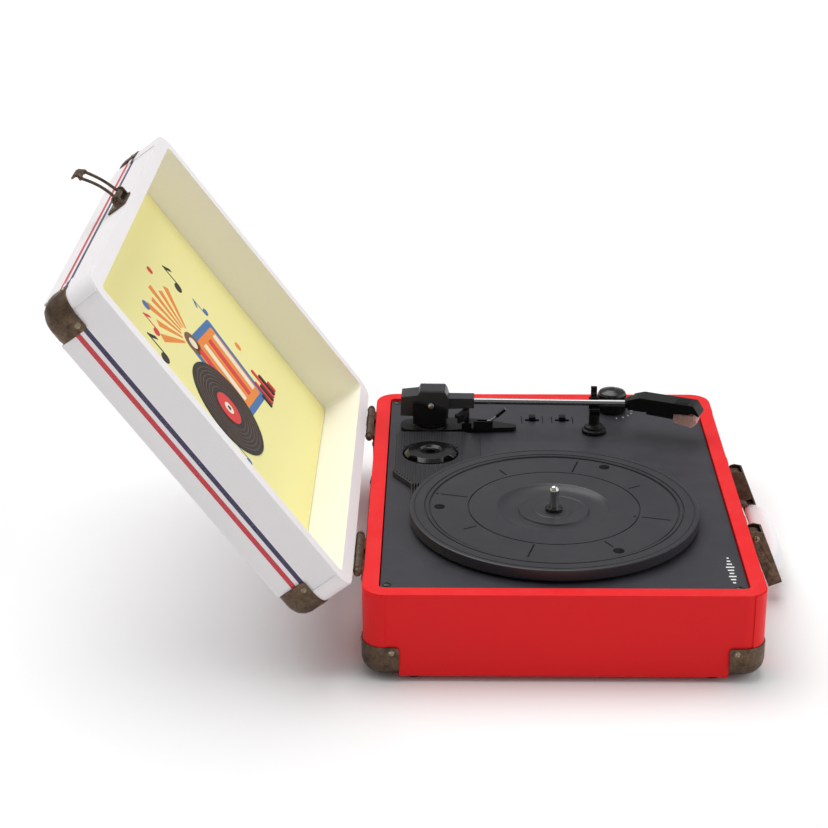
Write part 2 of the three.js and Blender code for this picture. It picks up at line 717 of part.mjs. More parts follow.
// Bar of the handle, fuller on its outer side between the caps, with ends that fit inside them
function handleGrip() {
  const tenonX = capInnerX + capWidth - 1.6;
  const shoulderX = capInnerX - gap;
  const plan = new THREE.Shape();
  plan.moveTo(-shoulderX, capInner - 0.4);
  plan.lineTo(-shoulderX, capOuter + 0.2);
  plan.bezierCurveTo(-38, -9, -36, -11.4, -26, -11.4);
  plan.lineTo(26, -11.4);
  plan.bezierCurveTo(36, -11.4, 38, -9, shoulderX, capOuter + 0.2);
  plan.lineTo(shoulderX, capInner - 0.4);
  const bar = slab(plan, gripBottom, gripTop, 6);
  const tenon = block(
    -tenonX, capOuter + 1.6, -capLength + 1.6, tenonX, capInner - 1.6, gripTop + 2.6,
  );
  const chamfer = 3.5;
  const trimmed = profileAlongX([
    [capInner, gripTop - 1], [capInner - 1, gripTop], [-11.4 + chamfer, gripTop], [-11.4, gripTop - chamfer],
    [-11.4, gripBottom + chamfer], [-11.4 + chamfer, gripBottom],
    [capInner - 1, gripBottom], [capInner, gripBottom + 1],
  ].reverse(), -shoulderX, shoulderX);
  return join(bar.intersect(trimmed), tenon);
}

// Assembly
const player = new THREE.Group();
player.add(named('base_shell', baseShell(), redCover));
player.add(named('bottom_panel', bottomPanel(), hardboard));
player.add(named('deck_plate', deckPlate(), charcoal));
player.add(named('ribbed_plinth', ribbedPlinth(), charcoal));
player.add(named('adapter_45', adapter(), blackGloss));
player.add(named('platter', platter(), charcoal));
player.add(named('spindle', spindle(), chrome));
player.add(named('bearing_bush', bearingBush(), brass));
player.add(named('motor', motor(), steel));
player.add(named('motor_pulley', pulley(), brass));
player.add(named('drive_belt', driveBelt(), blackRubber));
player.add(named('tonearm_base', tonearmBase(), blackPlastic));
player.add(named('tonearm_turret', tonearmTurret(), blackPlastic));
player.add(named('cue_lever', cueLever(), steel));
player.add(named('cue_lift', cueLift(), blackPlastic));
player.add(named('arm_rest', armRest(), blackPlastic));
player.add(named('arm_clip', armClip(), blackPlastic));
player.add(named('volume_knob', volumeKnob(), blackPlastic));
player.add(named('speed_switch', slideSwitch(switchYs[1]), blackPlastic));
player.add(named('autostop_switch', slideSwitch(switchYs[0]), blackPlastic));
player.add(named('amplifier_board', amplifierBoard(), boardGreen));
player.add(named('jack_plate', jackPlate(), blackPlastic));
player.add(named('power_inlet', powerInlet(), blackPlastic));
player.add(named('audio_sockets', audioSockets(), chrome));
player.add(named('latch_catch', latchCatch(), bronze));

const arm = armFrame();
arm.add(named('tonearm_block', tonearmBlock(), blackPlastic));
arm.add(named('tonearm_tube', tonearmTube(), chrome));
arm.add(named('headshell', headshell(), blackPlastic));
arm.add(named('cartridge', cartridge(), blackPlastic));
arm.add(named('stylus_guard', stylusGuard(), pinkClear));
player.add(arm);

const lid = new THREE.Group();
lid.position.set(0, hingeY, baseHeight);
lid.rotation.x = -radians(lidOpenDeg);
lid.add(named('lid_shell', lidShell(), whiteCover));
lid.add(named('lid_liner', lidLiner(), yellowLiner));
lid.add(named('latch_plate', latchPlate(), bronze));
const bail = new THREE.Group();
bail.position.set(0, lidFrontY - bailOut, bailUp);
bail.rotation.x = Math.PI - radians(bailRestDeg);
bail.add(named('latch_bail', latchBail(), bronze));
lid.add(bail);
player.add(lid);

const handle = new THREE.Group();
handle.position.set(0, frontY - handlePivotOut, handlePivotZ);
handle.rotation.x = -radians(handleHangDeg);
handle.add(named('handle_grip', handleGrip(), whiteGrip));
player.add(handle);

for (const [sideName, side] of Object.entries(sides)) {
  player.add(named(`speaker_${sideName}`, speaker(side), paper));
  player.add(named(`speaker_grille_${sideName}`, speakerGrille(side), blackPlastic));
  player.add(named(`hinge_base_leaf_${sideName}`, hingeBaseLeaf(side), bronze));
  player.add(named(`handle_bracket_${sideName}`, handleBracket(side), bronze));
  lid.add(named(`hinge_lid_leaf_${sideName}`, hingeLidLeaf(side), bronze));
  handle.add(named(`handle_cap_${sideName}`, handleCap(side), bronze));
  for (const [endName, end] of Object.entries(ends)) {
    const place = `${endName}_${sideName}`;
    player.add(named(`foot_${place}`, foot(side * 166, end * 100), blackRubber));
    const corner = side * end > 0 ? cornerPiece() : cornerPiece().mirror([1, 0, 0]);
    const baseCorner = corner.rotate([0, 0, end > 0 ? 0 : 180]).translate([side * halfX, end * halfY, 0]);
    player.add(named(`base_corner_${place}`, baseCorner, bronze));
    const lidCorner = baseCorner.mirror([0, 0, 1]).translate([0, lidMiddleY, lidTop]);
    lid.add(named(`lid_corner_${place}`, lidCorner, bronze));
  }
}

export default player;
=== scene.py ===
import json
import math
import bmesh
import bpy
from mathutils import Matrix, Vector


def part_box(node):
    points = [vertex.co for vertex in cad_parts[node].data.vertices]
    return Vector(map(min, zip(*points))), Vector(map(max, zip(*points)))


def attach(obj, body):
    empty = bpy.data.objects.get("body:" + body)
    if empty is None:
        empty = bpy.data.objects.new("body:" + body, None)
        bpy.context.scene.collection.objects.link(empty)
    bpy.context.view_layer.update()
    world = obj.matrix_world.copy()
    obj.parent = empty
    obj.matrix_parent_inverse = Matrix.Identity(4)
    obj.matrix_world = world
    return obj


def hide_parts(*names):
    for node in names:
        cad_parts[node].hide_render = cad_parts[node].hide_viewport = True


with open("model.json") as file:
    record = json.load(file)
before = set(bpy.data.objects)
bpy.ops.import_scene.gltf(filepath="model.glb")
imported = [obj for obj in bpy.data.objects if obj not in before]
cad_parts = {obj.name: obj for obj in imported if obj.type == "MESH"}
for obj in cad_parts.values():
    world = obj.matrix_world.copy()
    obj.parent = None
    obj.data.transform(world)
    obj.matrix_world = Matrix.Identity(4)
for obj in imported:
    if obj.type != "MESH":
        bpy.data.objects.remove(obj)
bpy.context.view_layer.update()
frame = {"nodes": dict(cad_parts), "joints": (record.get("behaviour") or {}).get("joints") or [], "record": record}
print("frame loaded:", len(frame["nodes"]), "CAD nodes")

mm = 0.001  # lengths below are in millimetres, and meshes are scaled to metres as they are finished
scene = bpy.context.scene
scene.view_settings.view_transform = "Standard"
joints = {joint["name"]: joint for joint in frame["joints"]}
bodyOf = {node: body for body, nodes in frame["record"]["behaviour"]["bodies"].items() for node in nodes}
sides = {"left": -1, "right": 1}
ends = {"front": -1, "back": 1}


# ---- camera, light and floor

shot = {"place": (-1391.6, 80.5, 686.9), "yaw": 0.01524, "pitch": 0.38944, "roll": -0.00303,
        "focal": 2074.6, "side": 828, "sensor": 36}
light = {"sky": 0.33, "floor": 0.89,
         "lamps": {"overhead": (2.4, 60, (0.30, 0.28, 1.0)), "front": (1.25, 75, (-0.05, -1.0, 0.45))}}


def aimCamera():
    yaw, pitch, roll = shot["yaw"], shot["pitch"], shot["roll"]
    ahead = Vector((math.cos(yaw) * math.cos(pitch), math.sin(yaw) * math.cos(pitch), -math.sin(pitch)))
    right = ahead.cross(Vector((0, 0, 1))).normalized()
    up = right.cross(ahead)
    rolledRight = right * math.cos(roll) + up * math.sin(roll)
    rolledUp = up * math.cos(roll) - right * math.sin(roll)
    turn = Matrix((rolledRight, rolledUp, -ahead)).transposed()
    lens = bpy.data.cameras.new("camera")
    lens.sensor_width = shot["sensor"]
    lens.lens = shot["focal"] / shot["side"] * shot["sensor"]
    lens.clip_start = 0.05
    lens.clip_end = 60
    camera = bpy.data.objects.new("camera", lens)
    camera.matrix_world = Matrix.Translation(Vector(shot["place"]) * mm) @ turn.to_4x4()
    scene.collection.objects.link(camera)
    scene.camera = camera


def lightStudio():
    world = bpy.data.worlds.new("studio")
    world.use_nodes = True
    world.node_tree.nodes["Background"].inputs["Color"].default_value = (1, 1, 1, 1)
    world.node_tree.nodes["Background"].inputs["Strength"].default_value = light["sky"]
    scene.world = world
    for name, (strength, width, origin) in light["lamps"].items():
        sun = bpy.data.lights.new(name, "SUN")
        sun.energy = strength
        sun.angle = math.radians(width)
        lamp = bpy.data.objects.new(name, sun)
        lamp.rotation_euler = Vector(origin).to_track_quat("Z", "Y").to_euler()
        scene.collection.objects.link(lamp)


def layFloor():
    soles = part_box("foot_front_left")[0].z
    mesh = bpy.data.meshes.new("floor")
    reach = 14
    mesh.from_pydata([(-reach, -reach, soles), (reach, -reach, soles), (reach, reach, soles), (-reach, reach, soles)],
                     [], [(0, 1, 2, 3)])
    floor = bpy.data.objects.new("floor", mesh)
    paper = bpy.data.materials.new("floor_paper")
    paper.use_nodes = True
    shader = paper.node_tree.nodes["Principled BSDF"]
    shader.inputs["Base Color"].default_value = (light["floor"], light["floor"], light["floor"], 1)
    shader.inputs["Roughness"].default_value = 0.9
    shader.inputs["Specular IOR Level"].default_value = 0.1
    mesh.materials.append(paper)
    scene.collection.objects.link(floor)


aimCamera()
lightStudio()
layFloor()
print("camera, light and floor placed")


# ---- shader node groups and materials

def addNode(tree, kind, settings=None, inputs=None):
    node = tree.nodes.new(kind)
    for key, value in (settings or {}).items():
        setattr(node, key, value)
    for key, value in (inputs or {}).items():
        if isinstance(value, bpy.types.NodeSocket):
            tree.links.new(value, node.inputs[key])
        else:
            node.inputs[key].default_value = value
    return node


def startGroup(name, inputs, outputs):
    tree = bpy.data.node_groups.new(name, "ShaderNodeTree")
    kinds = {1: "NodeSocketFloat", 3: "NodeSocketVector", 4: "NodeSocketColor"}
    for label, value in inputs.items():
        size = len(value) if isinstance(value, tuple) else 1
        socket = tree.interface.new_socket(label, in_out="INPUT", socket_type=kinds[size])
        socket.default_value = value
    for label, size in outputs.items():
        tree.interface.new_socket(label, in_out="OUTPUT", socket_type=kinds[size])
    return tree, tree.nodes.new("NodeGroupInput").outputs, tree.nodes.new("NodeGroupOutput").inputs


def math2(tree, operation, first, second=0.5, third=0.5, clamp=False):
    node = addNode(tree, "ShaderNodeMath", {"operation": operation, "use_clamp": clamp}, {0: first, 1: second})
    if operation in ("MULTIPLY_ADD", "SMOOTH_MIN", "COMPARE"):
        node.inputs[2].default_value = third
    return node.outputs[0]


def spread(tree, value, low, high, toLow=0.0, toHigh=1.0):
    node = addNode(tree, "ShaderNodeMapRange", {"interpolation_type": "SMOOTHSTEP"},
                   {"Value": value, "From Min": low, "From Max": high, "To Min": toLow, "To Max": toHigh})
    return node.outputs[0]


def objectPoint(tree, scale):
    spot = addNode(tree, "ShaderNodeTexCoord").outputs["Object"]
    node = addNode(tree, "ShaderNodeVectorMath", {"operation": "SCALE"}, {0: spot, "Scale": scale})
    return node.outputs[0]


def noise(tree, point, scale, detail=3.0, roughness=0.55):
    return addNode(tree, "ShaderNodeTexNoise", None,
                   {"Vector": point, "Scale": scale, "Detail": detail, "Roughness": roughness}).outputs["Fac"]


def leatherGroup():
    # pebbled covering: rounded cells parted by fine creases, with a slow change of tone
    tree, given, out = startGroup("leather grain", {"Cells": 1100.0, "Crease": 0.12}, {"Height": 1, "Tone": 1})
    point = objectPoint(tree, 1.0)
    cells = addNode(tree, "ShaderNodeTexVoronoi", {"feature": "DISTANCE_TO_EDGE"},
                    {"Vector": point, "Scale": given["Cells"], "Randomness": 0.9}).outputs["Distance"]
    crown = spread(tree, cells, 0.0, given["Crease"])
    pores = noise(tree, point, math2(tree, "MULTIPLY", given["Cells"], 2.7), 2.0)
    tree.links.new(math2(tree, "ADD", crown, math2(tree, "MULTIPLY", pores, 0.5)), out["Height"])
    slow = noise(tree, point, 14.0, 4.0)
    fine = noise(tree, point, 420.0, 2.0)
    tree.links.new(math2(tree, "ADD", math2(tree, "MULTIPLY", slow, 0.7), math2(tree, "MULTIPLY", fine, 0.3)), out["Tone"])
    return tree


def mottleGroup():
    # two sizes of cloud, for plated and oxidised metal and for moulded plastic
    tree, given, out = startGroup("mottle", {"Large": 120.0, "Small": 900.0, "Contrast": 1.0}, {"Mask": 1, "Fine": 1})
    point = objectPoint(tree, 1.0)
    large = noise(tree, point, given["Large"], 5.0, 0.65)
    small = noise(tree, point, given["Small"], 3.0, 0.6)
    both = math2(tree, "ADD", math2(tree, "MULTIPLY", large, 0.65), math2(tree, "MULTIPLY", small, 0.35))
    centred = math2(tree, "MULTIPLY", math2(tree, "SUBTRACT", both, 0.5), given["Contrast"])
    tree.links.new(math2(tree, "ADD", centred, 0.5, clamp=True), out["Mask"])
    tree.links.new(small, out["Fine"])
    return tree


def wearGroup():
    # rubbed outer edges, broken up by noise
    tree, given, out = startGroup("edge wear", {"Gain": 8.0, "Break": 300.0}, {"Mask": 1})
    pointed = addNode(tree, "ShaderNodeNewGeometry").outputs["Pointiness"]
    edge = math2(tree, "MULTIPLY", math2(tree, "SUBTRACT", pointed, 0.52), given["Gain"], clamp=True)
    rough = spread(tree, noise(tree, objectPoint(tree, 1.0), given["Break"], 4.0), 0.35, 0.65)
    tree.links.new(math2(tree, "MULTIPLY", edge, rough, clamp=True), out["Mask"])
    return tree


def dustGroup():
    # a thin uneven film on what faces up
    tree, given, out = startGroup("dust", {"Amount": 0.2}, {"Mask": 1})
    normal = addNode(tree, "ShaderNodeNewGeometry").outputs["Normal"]
    upward = addNode(tree, "ShaderNodeSeparateXYZ", None, {0: normal}).outputs["Z"]
    film = spread(tree, noise(tree, objectPoint(tree, 1.0), 55.0, 6.0, 0.7), 0.4, 0.75)
    specks = spread(tree, noise(tree, objectPoint(tree, 1.0), 1500.0, 1.0), 0.69, 0.76)
    both = math2(tree, "ADD", math2(tree, "MULTIPLY", film, 0.4), specks)
    faced = math2(tree, "MULTIPLY", both, math2(tree, "MAXIMUM", upward, 0.0))
    tree.links.new(math2(tree, "MULTIPLY", faced, given["Amount"], clamp=True), out["Mask"])
    return tree


def turnedGroup():
    # fine rings left by turning, round an upright line through Centre
    tree, given, out = startGroup("turned rings", {"Centre": (0.0, 0.0, 0.0), "Pitch": 0.0006}, {"Height": 1, "Sweep": 1})
    spot = addNode(tree, "ShaderNodeTexCoord").outputs["Object"]
    local = addNode(tree, "ShaderNodeVectorMath", {"operation": "SUBTRACT"}, {0: spot, 1: given["Centre"]}).outputs[0]
    flat = addNode(tree, "ShaderNodeVectorMath", {"operation": "MULTIPLY"}, {0: local, 1: (1, 1, 0)}).outputs[0]
    radius = addNode(tree, "ShaderNodeVectorMath", {"operation": "LENGTH"}, {0: flat}).outputs["Value"]
    turns = math2(tree, "MULTIPLY", math2(tree, "DIVIDE", radius, given["Pitch"]), 2 * math.pi)
    ripple = math2(tree, "MULTIPLY", math2(tree, "SINE", turns, 0), 0.5)
    uneven = noise(tree, addNode(tree, "ShaderNodeCombineXYZ", None, {0: radius}).outputs[0], 2600.0, 2.0)
    tree.links.new(math2(tree, "ADD", ripple, uneven), out["Height"])
    parts = addNode(tree, "ShaderNodeSeparateXYZ", None, {0: local})
    angle = math2(tree, "ARCTAN2", parts.outputs[1], parts.outputs[0])
    tree.links.new(math2(tree, "MULTIPLY_ADD", math2(tree, "SINE", math2(tree, "MULTIPLY", angle, 2.0), 0), 0.5, 0.5),
                   out["Sweep"])
    return tree


def bandGroup():
    # 1 between two heights along Direction from Origin
    tree, given, out = startGroup("band", {"Origin": (0.0, 0.0, 0.0), "Direction": (0.0, 0.0, 1.0),
                                           "Low": 0.0, "High": 0.01}, {"Mask": 1})
    spot = addNode(tree, "ShaderNodeTexCoord").outputs["Object"]
    local = addNode(tree, "ShaderNodeVectorMath", {"operation": "SUBTRACT"}, {0: spot, 1: given["Origin"]}).outputs[0]
    height = addNode(tree, "ShaderNodeVectorMath", {"operation": "DOT_PRODUCT"},
                     {0: local, 1: given["Direction"]}).outputs["Value"]
    over = math2(tree, "GREATER_THAN", height, given["Low"])
    under = math2(tree, "LESS_THAN", height, given["High"])
    tree.links.new(math2(tree, "MULTIPLY", over, under), out["Mask"])
    return tree


leatherGrain = leatherGroup()
mottle = mottleGroup()
edgeWear = wearGroup()
dust = dustGroup()
turnedRings = turnedGroup()
band = bandGroup()


def useGroup(tree, group, inputs=None):
    return addNode(tree, "ShaderNodeGroup", {"node_tree": group}, inputs).outputs


def mixColours(tree, factor, first, second, blend="MIX"):
    node = addNode(tree, "ShaderNodeMix", {"data_type": "RGBA", "blend_type": blend})
    for socket, value in ((node.inputs[0], factor), (node.inputs[6], first), (node.inputs[7], second)):
        if isinstance(value, bpy.types.NodeSocket):
            tree.links.new(value, socket)
        else:
            socket.default_value = value
    return node.outputs[2]


def tint(colour, factor=1.0):
    return tuple(min(1.0, channel * factor) for channel in colour[:3]) + (1.0,)


def startLook(name, roughness, **fixed):
    look = bpy.data.materials.new(name)
    look.use_nodes = True
    shader = look.node_tree.nodes["Principled BSDF"]
    shader.inputs["Roughness"].default_value = roughness
    for label, value in fixed.items():
        shader.inputs[label.replace("_", " ")].default_value = value
    return look, look.node_tree, shader


def addBump(tree, shader, height, strength, distance):
    bump = addNode(tree, "ShaderNodeBump", None, {"Height": height, "Strength": strength, "Distance": distance})
    tree.links.new(bump.outputs["Normal"], shader.inputs["Normal"])


def leatherette(name, colour, roughness, cells, depth, shade=0.9, stripes=(), gloss=0.3):
    look, tree, shader = startLook(name, roughness, Specular_IOR_Level=gloss)
    grain = useGroup(tree, leatherGrain, {"Cells": cells})
    base = mixColours(tree, grain["Tone"], tint(colour, shade), tint(colour, 2 - shade))
    for origin, direction, low, high, ink in stripes:
        mask = useGroup(tree, band, {"Origin": origin, "Direction": direction, "Low": low, "High": high})["Mask"]
        base = mixColours(tree, mask, base, tint(ink))
    # colour darkened in the low creases of the grain: painted shade in the creases
    shadedCreases = mixColours(tree, spread(tree, grain["Height"], 0.25, 0.7, 0.35, 0.0), base, tint(colour, 0.72))
    film = useGroup(tree, dust, {"Amount": 0.05})["Mask"]
    tree.links.new(mixColours(tree, film, shadedCreases, (0.8, 0.78, 0.76, 1)), shader.inputs["Base Color"])
    tree.links.new(spread(tree, grain["Tone"], 0.2, 0.8, roughness - 0.06, roughness + 0.08), shader.inputs["Roughness"])
    addBump(tree, shader, grain["Height"], 0.5, depth)
    return look


def moulded(name, colour, roughness, texture=1400.0, depth=0.00002, film=0.12, worn=0.25, gloss=0.25, **fixed):
    look, tree, shader = startLook(name, roughness, Specular_IOR_Level=gloss, **fixed)
    cloud = useGroup(tree, mottle, {"Large": 60.0, "Small": texture, "Contrast": 1.0})
    base = mixColours(tree, cloud["Mask"], tint(colour, 0.85), tint(colour, 1.15))
    rubbed = math2(tree, "MULTIPLY", useGroup(tree, edgeWear, {"Gain": 6.0})["Mask"], worn)
    base = mixColours(tree, rubbed, base, tint([channel * 1.7 + 0.02 for channel in colour]))
    covered = mixColours(tree, useGroup(tree, dust, {"Amount": film})["Mask"], base, (0.32, 0.31, 0.30, 1))
    tree.links.new(covered, shader.inputs["Base Color"])
    tree.links.new(spread(tree, cloud["Mask"], 0.3, 0.7, roughness - 0.05, roughness + 0.07), shader.inputs["Roughness"])
    addBump(tree, shader, cloud["Fine"], 0.35, depth)
    return look


def plated(name, dark, pale, roughness, large=120.0, small=900.0, contrast=2.2, depth=0.00003, worn=0.5,
           metallic=1.0):
    look, tree, shader = startLook(name, roughness, Metallic=metallic)
    cloud = useGroup(tree, mottle, {"Large": large, "Small": small, "Contrast": contrast})
    base = mixColours(tree, cloud["Mask"], tint(dark), tint(pale))
    rubbed = math2(tree, "MULTIPLY", useGroup(tree, edgeWear, {"Gain": 10.0})["Mask"], worn)
    worked = mixColours(tree, rubbed, base, tint(pale, 1.9))
    tree.links.new(worked, shader.inputs["Base Color"])
    tree.links.new(spread(tree, cloud["Mask"], 0.2, 0.8, roughness + 0.12, roughness - 0.06), shader.inputs["Roughness"])
    addBump(tree, shader, cloud["Mask"], 0.4, depth)
    return look


def turnedLook(name, colour, roughness, centre, pitch, depth, **fixed):
    look, tree, shader = startLook(name, roughness, **fixed)
    rings = useGroup(tree, turnedRings, {"Centre": centre, "Pitch": pitch})
    cloud = useGroup(tree, mottle, {"Large": 45.0, "Small": 1600.0, "Contrast": 1.2})
    base = mixColours(tree, cloud["Mask"], tint(colour, 0.84), tint(colour, 1.14))
    covered = mixColours(tree, useGroup(tree, dust, {"Amount": 0.05})["Mask"], base, (0.30, 0.30, 0.30, 1))
    tree.links.new(covered, shader.inputs["Base Color"])
    tree.links.new(spread(tree, rings["Sweep"], 0.0, 1.0, roughness - 0.05, roughness + 0.05), shader.inputs["Roughness"])
    addBump(tree, shader, rings["Height"], 0.3, depth)
    return look


def inkLook(name, colour, roughness=0.5):
    look, tree, shader = startLook(name, roughness)
    cloud = useGroup(tree, mottle, {"Large": 90.0, "Small": 2600.0, "Contrast": 1.6})
    base = mixColours(tree, cloud["Mask"], tint(colour, 0.9), tint(colour, 1.06))
    tree.links.new(base, shader.inputs["Base Color"])
    tree.links.new(spread(tree, cloud["Mask"], 0.2, 0.8, roughness, roughness + 0.1), shader.inputs["Roughness"])
    addBump(tree, shader, cloud["Fine"], 0.2, 0.00001)
    return look


def clearLook(name, colour):
    look, tree, shader = startLook(name, 0.22, Transmission_Weight=0.55, IOR=1.49)
    cloud = useGroup(tree, mottle, {"Large": 150.0, "Small": 1200.0, "Contrast": 1.8})
    base = mixColours(tree, cloud["Mask"], tint(colour, 0.92), tint(colour, 1.08))
    tree.links.new(base, shader.inputs["Base Color"])
    tree.links.new(spread(tree, cloud["Fine"], 0.3, 0.7, 0.16, 0.3), shader.inputs["Roughness"])
    addBump(tree, shader, cloud["Fine"], 0.25, 0.00003)
    return look


def laminateLook(name, colour, ply):
    # raw board: fibres drawn out along X over a mottled ground
    look, tree, shader = startLook(name, 0.75)
    spot = addNode(tree, "ShaderNodeTexCoord").outputs["Object"]
    drawn = addNode(tree, "ShaderNodeMapping", None, {"Vector": spot, "Scale": (0.12, 1.0, 1.0)}).outputs[0]
    fibres = noise(tree, drawn, 900.0, 5.0, 0.7)
    cloud = useGroup(tree, mottle, {"Large": 30.0, "Small": 500.0, "Contrast": 1.5})
    base = mixColours(tree, cloud["Mask"], tint(colour), tint(ply))
    tree.links.new(mixColours(tree, spread(tree, fibres, 0.35, 0.7, 0.0, 0.5), base, tint(colour, 0.5)),
                   shader.inputs["Base Color"])
    addBump(tree, shader, fibres, 0.5, 0.00008)
    return look


def jointPlace(name):
    return Vector(joints[name]["pos_m"]) / mm


lidOpen = math.radians(-joints["lid_hinge"]["range_deg"][0])
lidPlace = Matrix.Translation(jointPlace("lid_hinge")) @ Matrix.Rotation(-lidOpen, 4, "X")
stripe = {"navy": (21.6, 24.8), "red": (27.6, 31.0), "navyInk": (0.030, 0.020, 0.085), "redInk": (0.60, 0.030, 0.045)}


def lidStripes():
    origin = tuple(jointPlace("lid_hinge") * mm)
    direction = tuple(lidPlace.to_3x3() @ Vector((0, 0, 1)))
    return [(origin, direction, stripe[band][0] * mm, stripe[band][1] * mm, stripe[band + "Ink"])
            for band in ("navy", "red")]


platterCentre = tuple(jointPlace("platter_spin") * mm)
knobCentre = tuple(jointPlace("volume_knob_turn") * mm)
redCover = leatherette("red_leatherette", (0.78, 0.014, 0.017), 0.46, 1250.0, 0.00005, 0.94, gloss=0.14)
whiteCover = leatherette("white_leatherette", (0.86, 0.83, 0.84), 0.5, 1250.0, 0.00005, 0.97, lidStripes())
creamLining = leatherette("cream_lining", (0.95, 0.925, 0.86), 0.6, 1900.0, 0.00002, 0.97)
yellowPaper = leatherette("yellow_paper", (0.90, 0.84, 0.37), 0.55, 2600.0, 0.00001, 0.97)
deckBlack = moulded("deck_black", (0.030, 0.029, 0.0365), 0.42, 2600.0, 0.00003, 0.05, 0.1, 0.32)
platterBlack = turnedLook("platter_black", (0.026, 0.025, 0.031), 0.36, platterCentre, 0.0009, 0.000012,
                          Specular_IOR_Level=0.34)
knobBlack = turnedLook("knob_black", (0.006, 0.006, 0.0065), 0.22, knobCentre, 0.0005, 0.00003,
                       Specular_IOR_Level=0.45)
# the arm's black plastic in two copies: the darker one is set as dark as the stand's shaded side (painted shade), and
# the lighter one, used on the arm block, is painted light for the block's lit top
armBlack = moulded("arm_black", (0.0055, 0.0055, 0.006), 0.34, 1800.0, 0.00002, 0.015, 0.25, 0.2)
armBlackPaintedLit = moulded("arm_black_painted_lit", (0.032, 0.031, 0.035), 0.34, 1800.0, 0.00002, 0.05, 0.25, 0.35)
ribBlack = moulded("rib_black", (0.026, 0.0255, 0.029), 0.34, 1800.0, 0.00002, 0.05, 0.25, 0.3)
glossBlack = moulded("gloss_black", (0.005, 0.005, 0.0055), 0.14, 900.0, 0.000008, 0.02, 0.1, 0.45)
rubberBlack = moulded("rubber_black", (0.012, 0.012, 0.012), 0.75, 1100.0, 0.00005, 0.1)
tickBlack = moulded("tick_black", (0.003, 0.003, 0.0035), 0.5, 1800.0, 0.00001, 0.0, 0.0, 0.08)
bronzePlate = plated("antique_bronze", (0.040, 0.026, 0.018), (0.150, 0.098, 0.062), 0.42, 110.0, 700.0, 3.0, 0.00004,
                     0.6, 0.75)
bronzeScrew = plated("bronze_screw", (0.16, 0.12, 0.08), (0.42, 0.34, 0.24), 0.32, 300.0, 1500.0, 1.8, 0.00002, 0.6)
chromePlate = plated("chrome_plate", (0.44, 0.44, 0.45), (0.62, 0.62, 0.62), 0.10, 60.0, 1200.0, 1.2, 0.000003, 0.1)
tubeChrome = plated("tube_chrome", (0.26, 0.26, 0.265), (0.34, 0.34, 0.34), 0.07, 60.0, 900.0, 1.0, 0.0, 0.0)
turnedBrass = plated("turned_brass", (0.42, 0.27, 0.09), (0.62, 0.42, 0.17), 0.26, 90.0, 1100.0, 1.4, 0.00001, 0.3)
brightSteel = plated("bright_steel", (0.36, 0.36, 0.37), (0.52, 0.52, 0.52), 0.3, 90.0, 1500.0, 1.4, 0.00001, 0.3)
blackScrew = plated("black_screw", (0.02, 0.02, 0.021), (0.06, 0.06, 0.06), 0.35, 300.0, 1500.0, 1.8, 0.00001,
                    0.3, 0.6)
paperCone = moulded("paper_cone", (0.030, 0.029, 0.028), 0.9, 700.0, 0.0001, 0.15)
boardGreen = moulded("board_green", (0.016, 0.105, 0.040), 0.4, 500.0, 0.00004, 0.1)
rawBoard = laminateLook("raw_hardboard", (0.18, 0.105, 0.055), (0.27, 0.17, 0.095))
whiteGrip = leatherette("white_grip", (0.85, 0.84, 0.85), 0.38, 2100.0, 0.00002, 0.985)
clearPink = clearLook("clear_pink", (0.93, 0.66, 0.60))
whiteInk = inkLook("white_ink", (0.80, 0.80, 0.80))
print("materials made:", len(bpy.data.materials))


# ---- mesh helpers

def turn(shape, profile, place=Matrix(), steps=64):
    # a profile of (radius, height) turned round the place's Z line
    closed = profile[0] == profile[-1]
    rings = []
    for radius, height in profile[:-1] if closed else profile:
        if radius < 1e-6:
            rings.append([shape.verts.new(place @ Vector((0, 0, height)))])
            continue
        angles = [2 * math.pi * step / steps for step in range(steps)]
        rings.append([shape.verts.new(place @ Vector((radius * math.cos(a), radius * math.sin(a), height)))
                      for a in angles])
    pairs = list(zip(rings, rings[1:])) + ([(rings[-1], rings[0])] if closed else [])
    for low, high in pairs:
        for step in range(steps):
            after = step + 1
            corners = [low[step % len(low)], low[after % len(low)], high[after % len(high)], high[step % len(high)]]
            corners = list(dict.fromkeys(corners))
            if len(corners) > 2:
                shape.faces.new(corners)


def prism(shape, outline, low, high, place=Matrix()):
    bottom = [shape.verts.new(place @ Vector((x, y, low))) for x, y in outline]
    top = [shape.verts.new(place @ Vector((x, y, high))) for x, y in outline]
    shape.faces.new(bottom[::-1])
    shape.faces.new(top)
    count = len(outline)
    for i in range(count):
        shape.faces.new((bottom[i], bottom[(i + 1) % count], top[(i + 1) % count], top[i]))


def block(shape, low, high, place=Matrix()):
    (x0, y0, z0), (x1, y1, z1) = low, high
    prism(shape, [(x0, y0), (x1, y0), (x1, y1), (x0, y1)], z0, z1, place)


def loft(shape, sections):
    # joins rings of points into one closed skin
    rings = [[shape.verts.new(point) for point in section] for section in sections]
    count = len(rings[0])
    for before, after in zip(rings, rings[1:]):
        for i in range(count):
            shape.faces.new((before[i], before[(i + 1) % count], after[(i + 1) % count], after[i]))
    shape.faces.new(rings[0][::-1])
    shape.faces.new(rings[-1])


def cadShape(*nodes):
    # the CAD solids of these nodes as one merged mesh, with flat faces made whole
    shape = bmesh.new()
    for node in nodes:
        shape.from_mesh(frame["nodes"][node].data)
    bmesh.ops.scale(shape, vec=(1 / mm, 1 / mm, 1 / mm), verts=shape.verts)
    bmesh.ops.remove_doubles(shape, verts=shape.verts, dist=0.002)
    bmesh.ops.dissolve_limit(shape, angle_limit=math.radians(1), verts=shape.verts, edges=shape.edges)
    return shape


def freeze(piece):
    # modifiers become the piece's own mesh
    bpy.context.view_layer.update()
    graph = bpy.context.evaluated_depsgraph_get()
    mesh = bpy.data.meshes.new_from_object(piece.evaluated_get(graph), preserve_all_data_layers=True, depsgraph=graph)
    piece.modifiers.clear()
    piece.data = mesh
    return piece


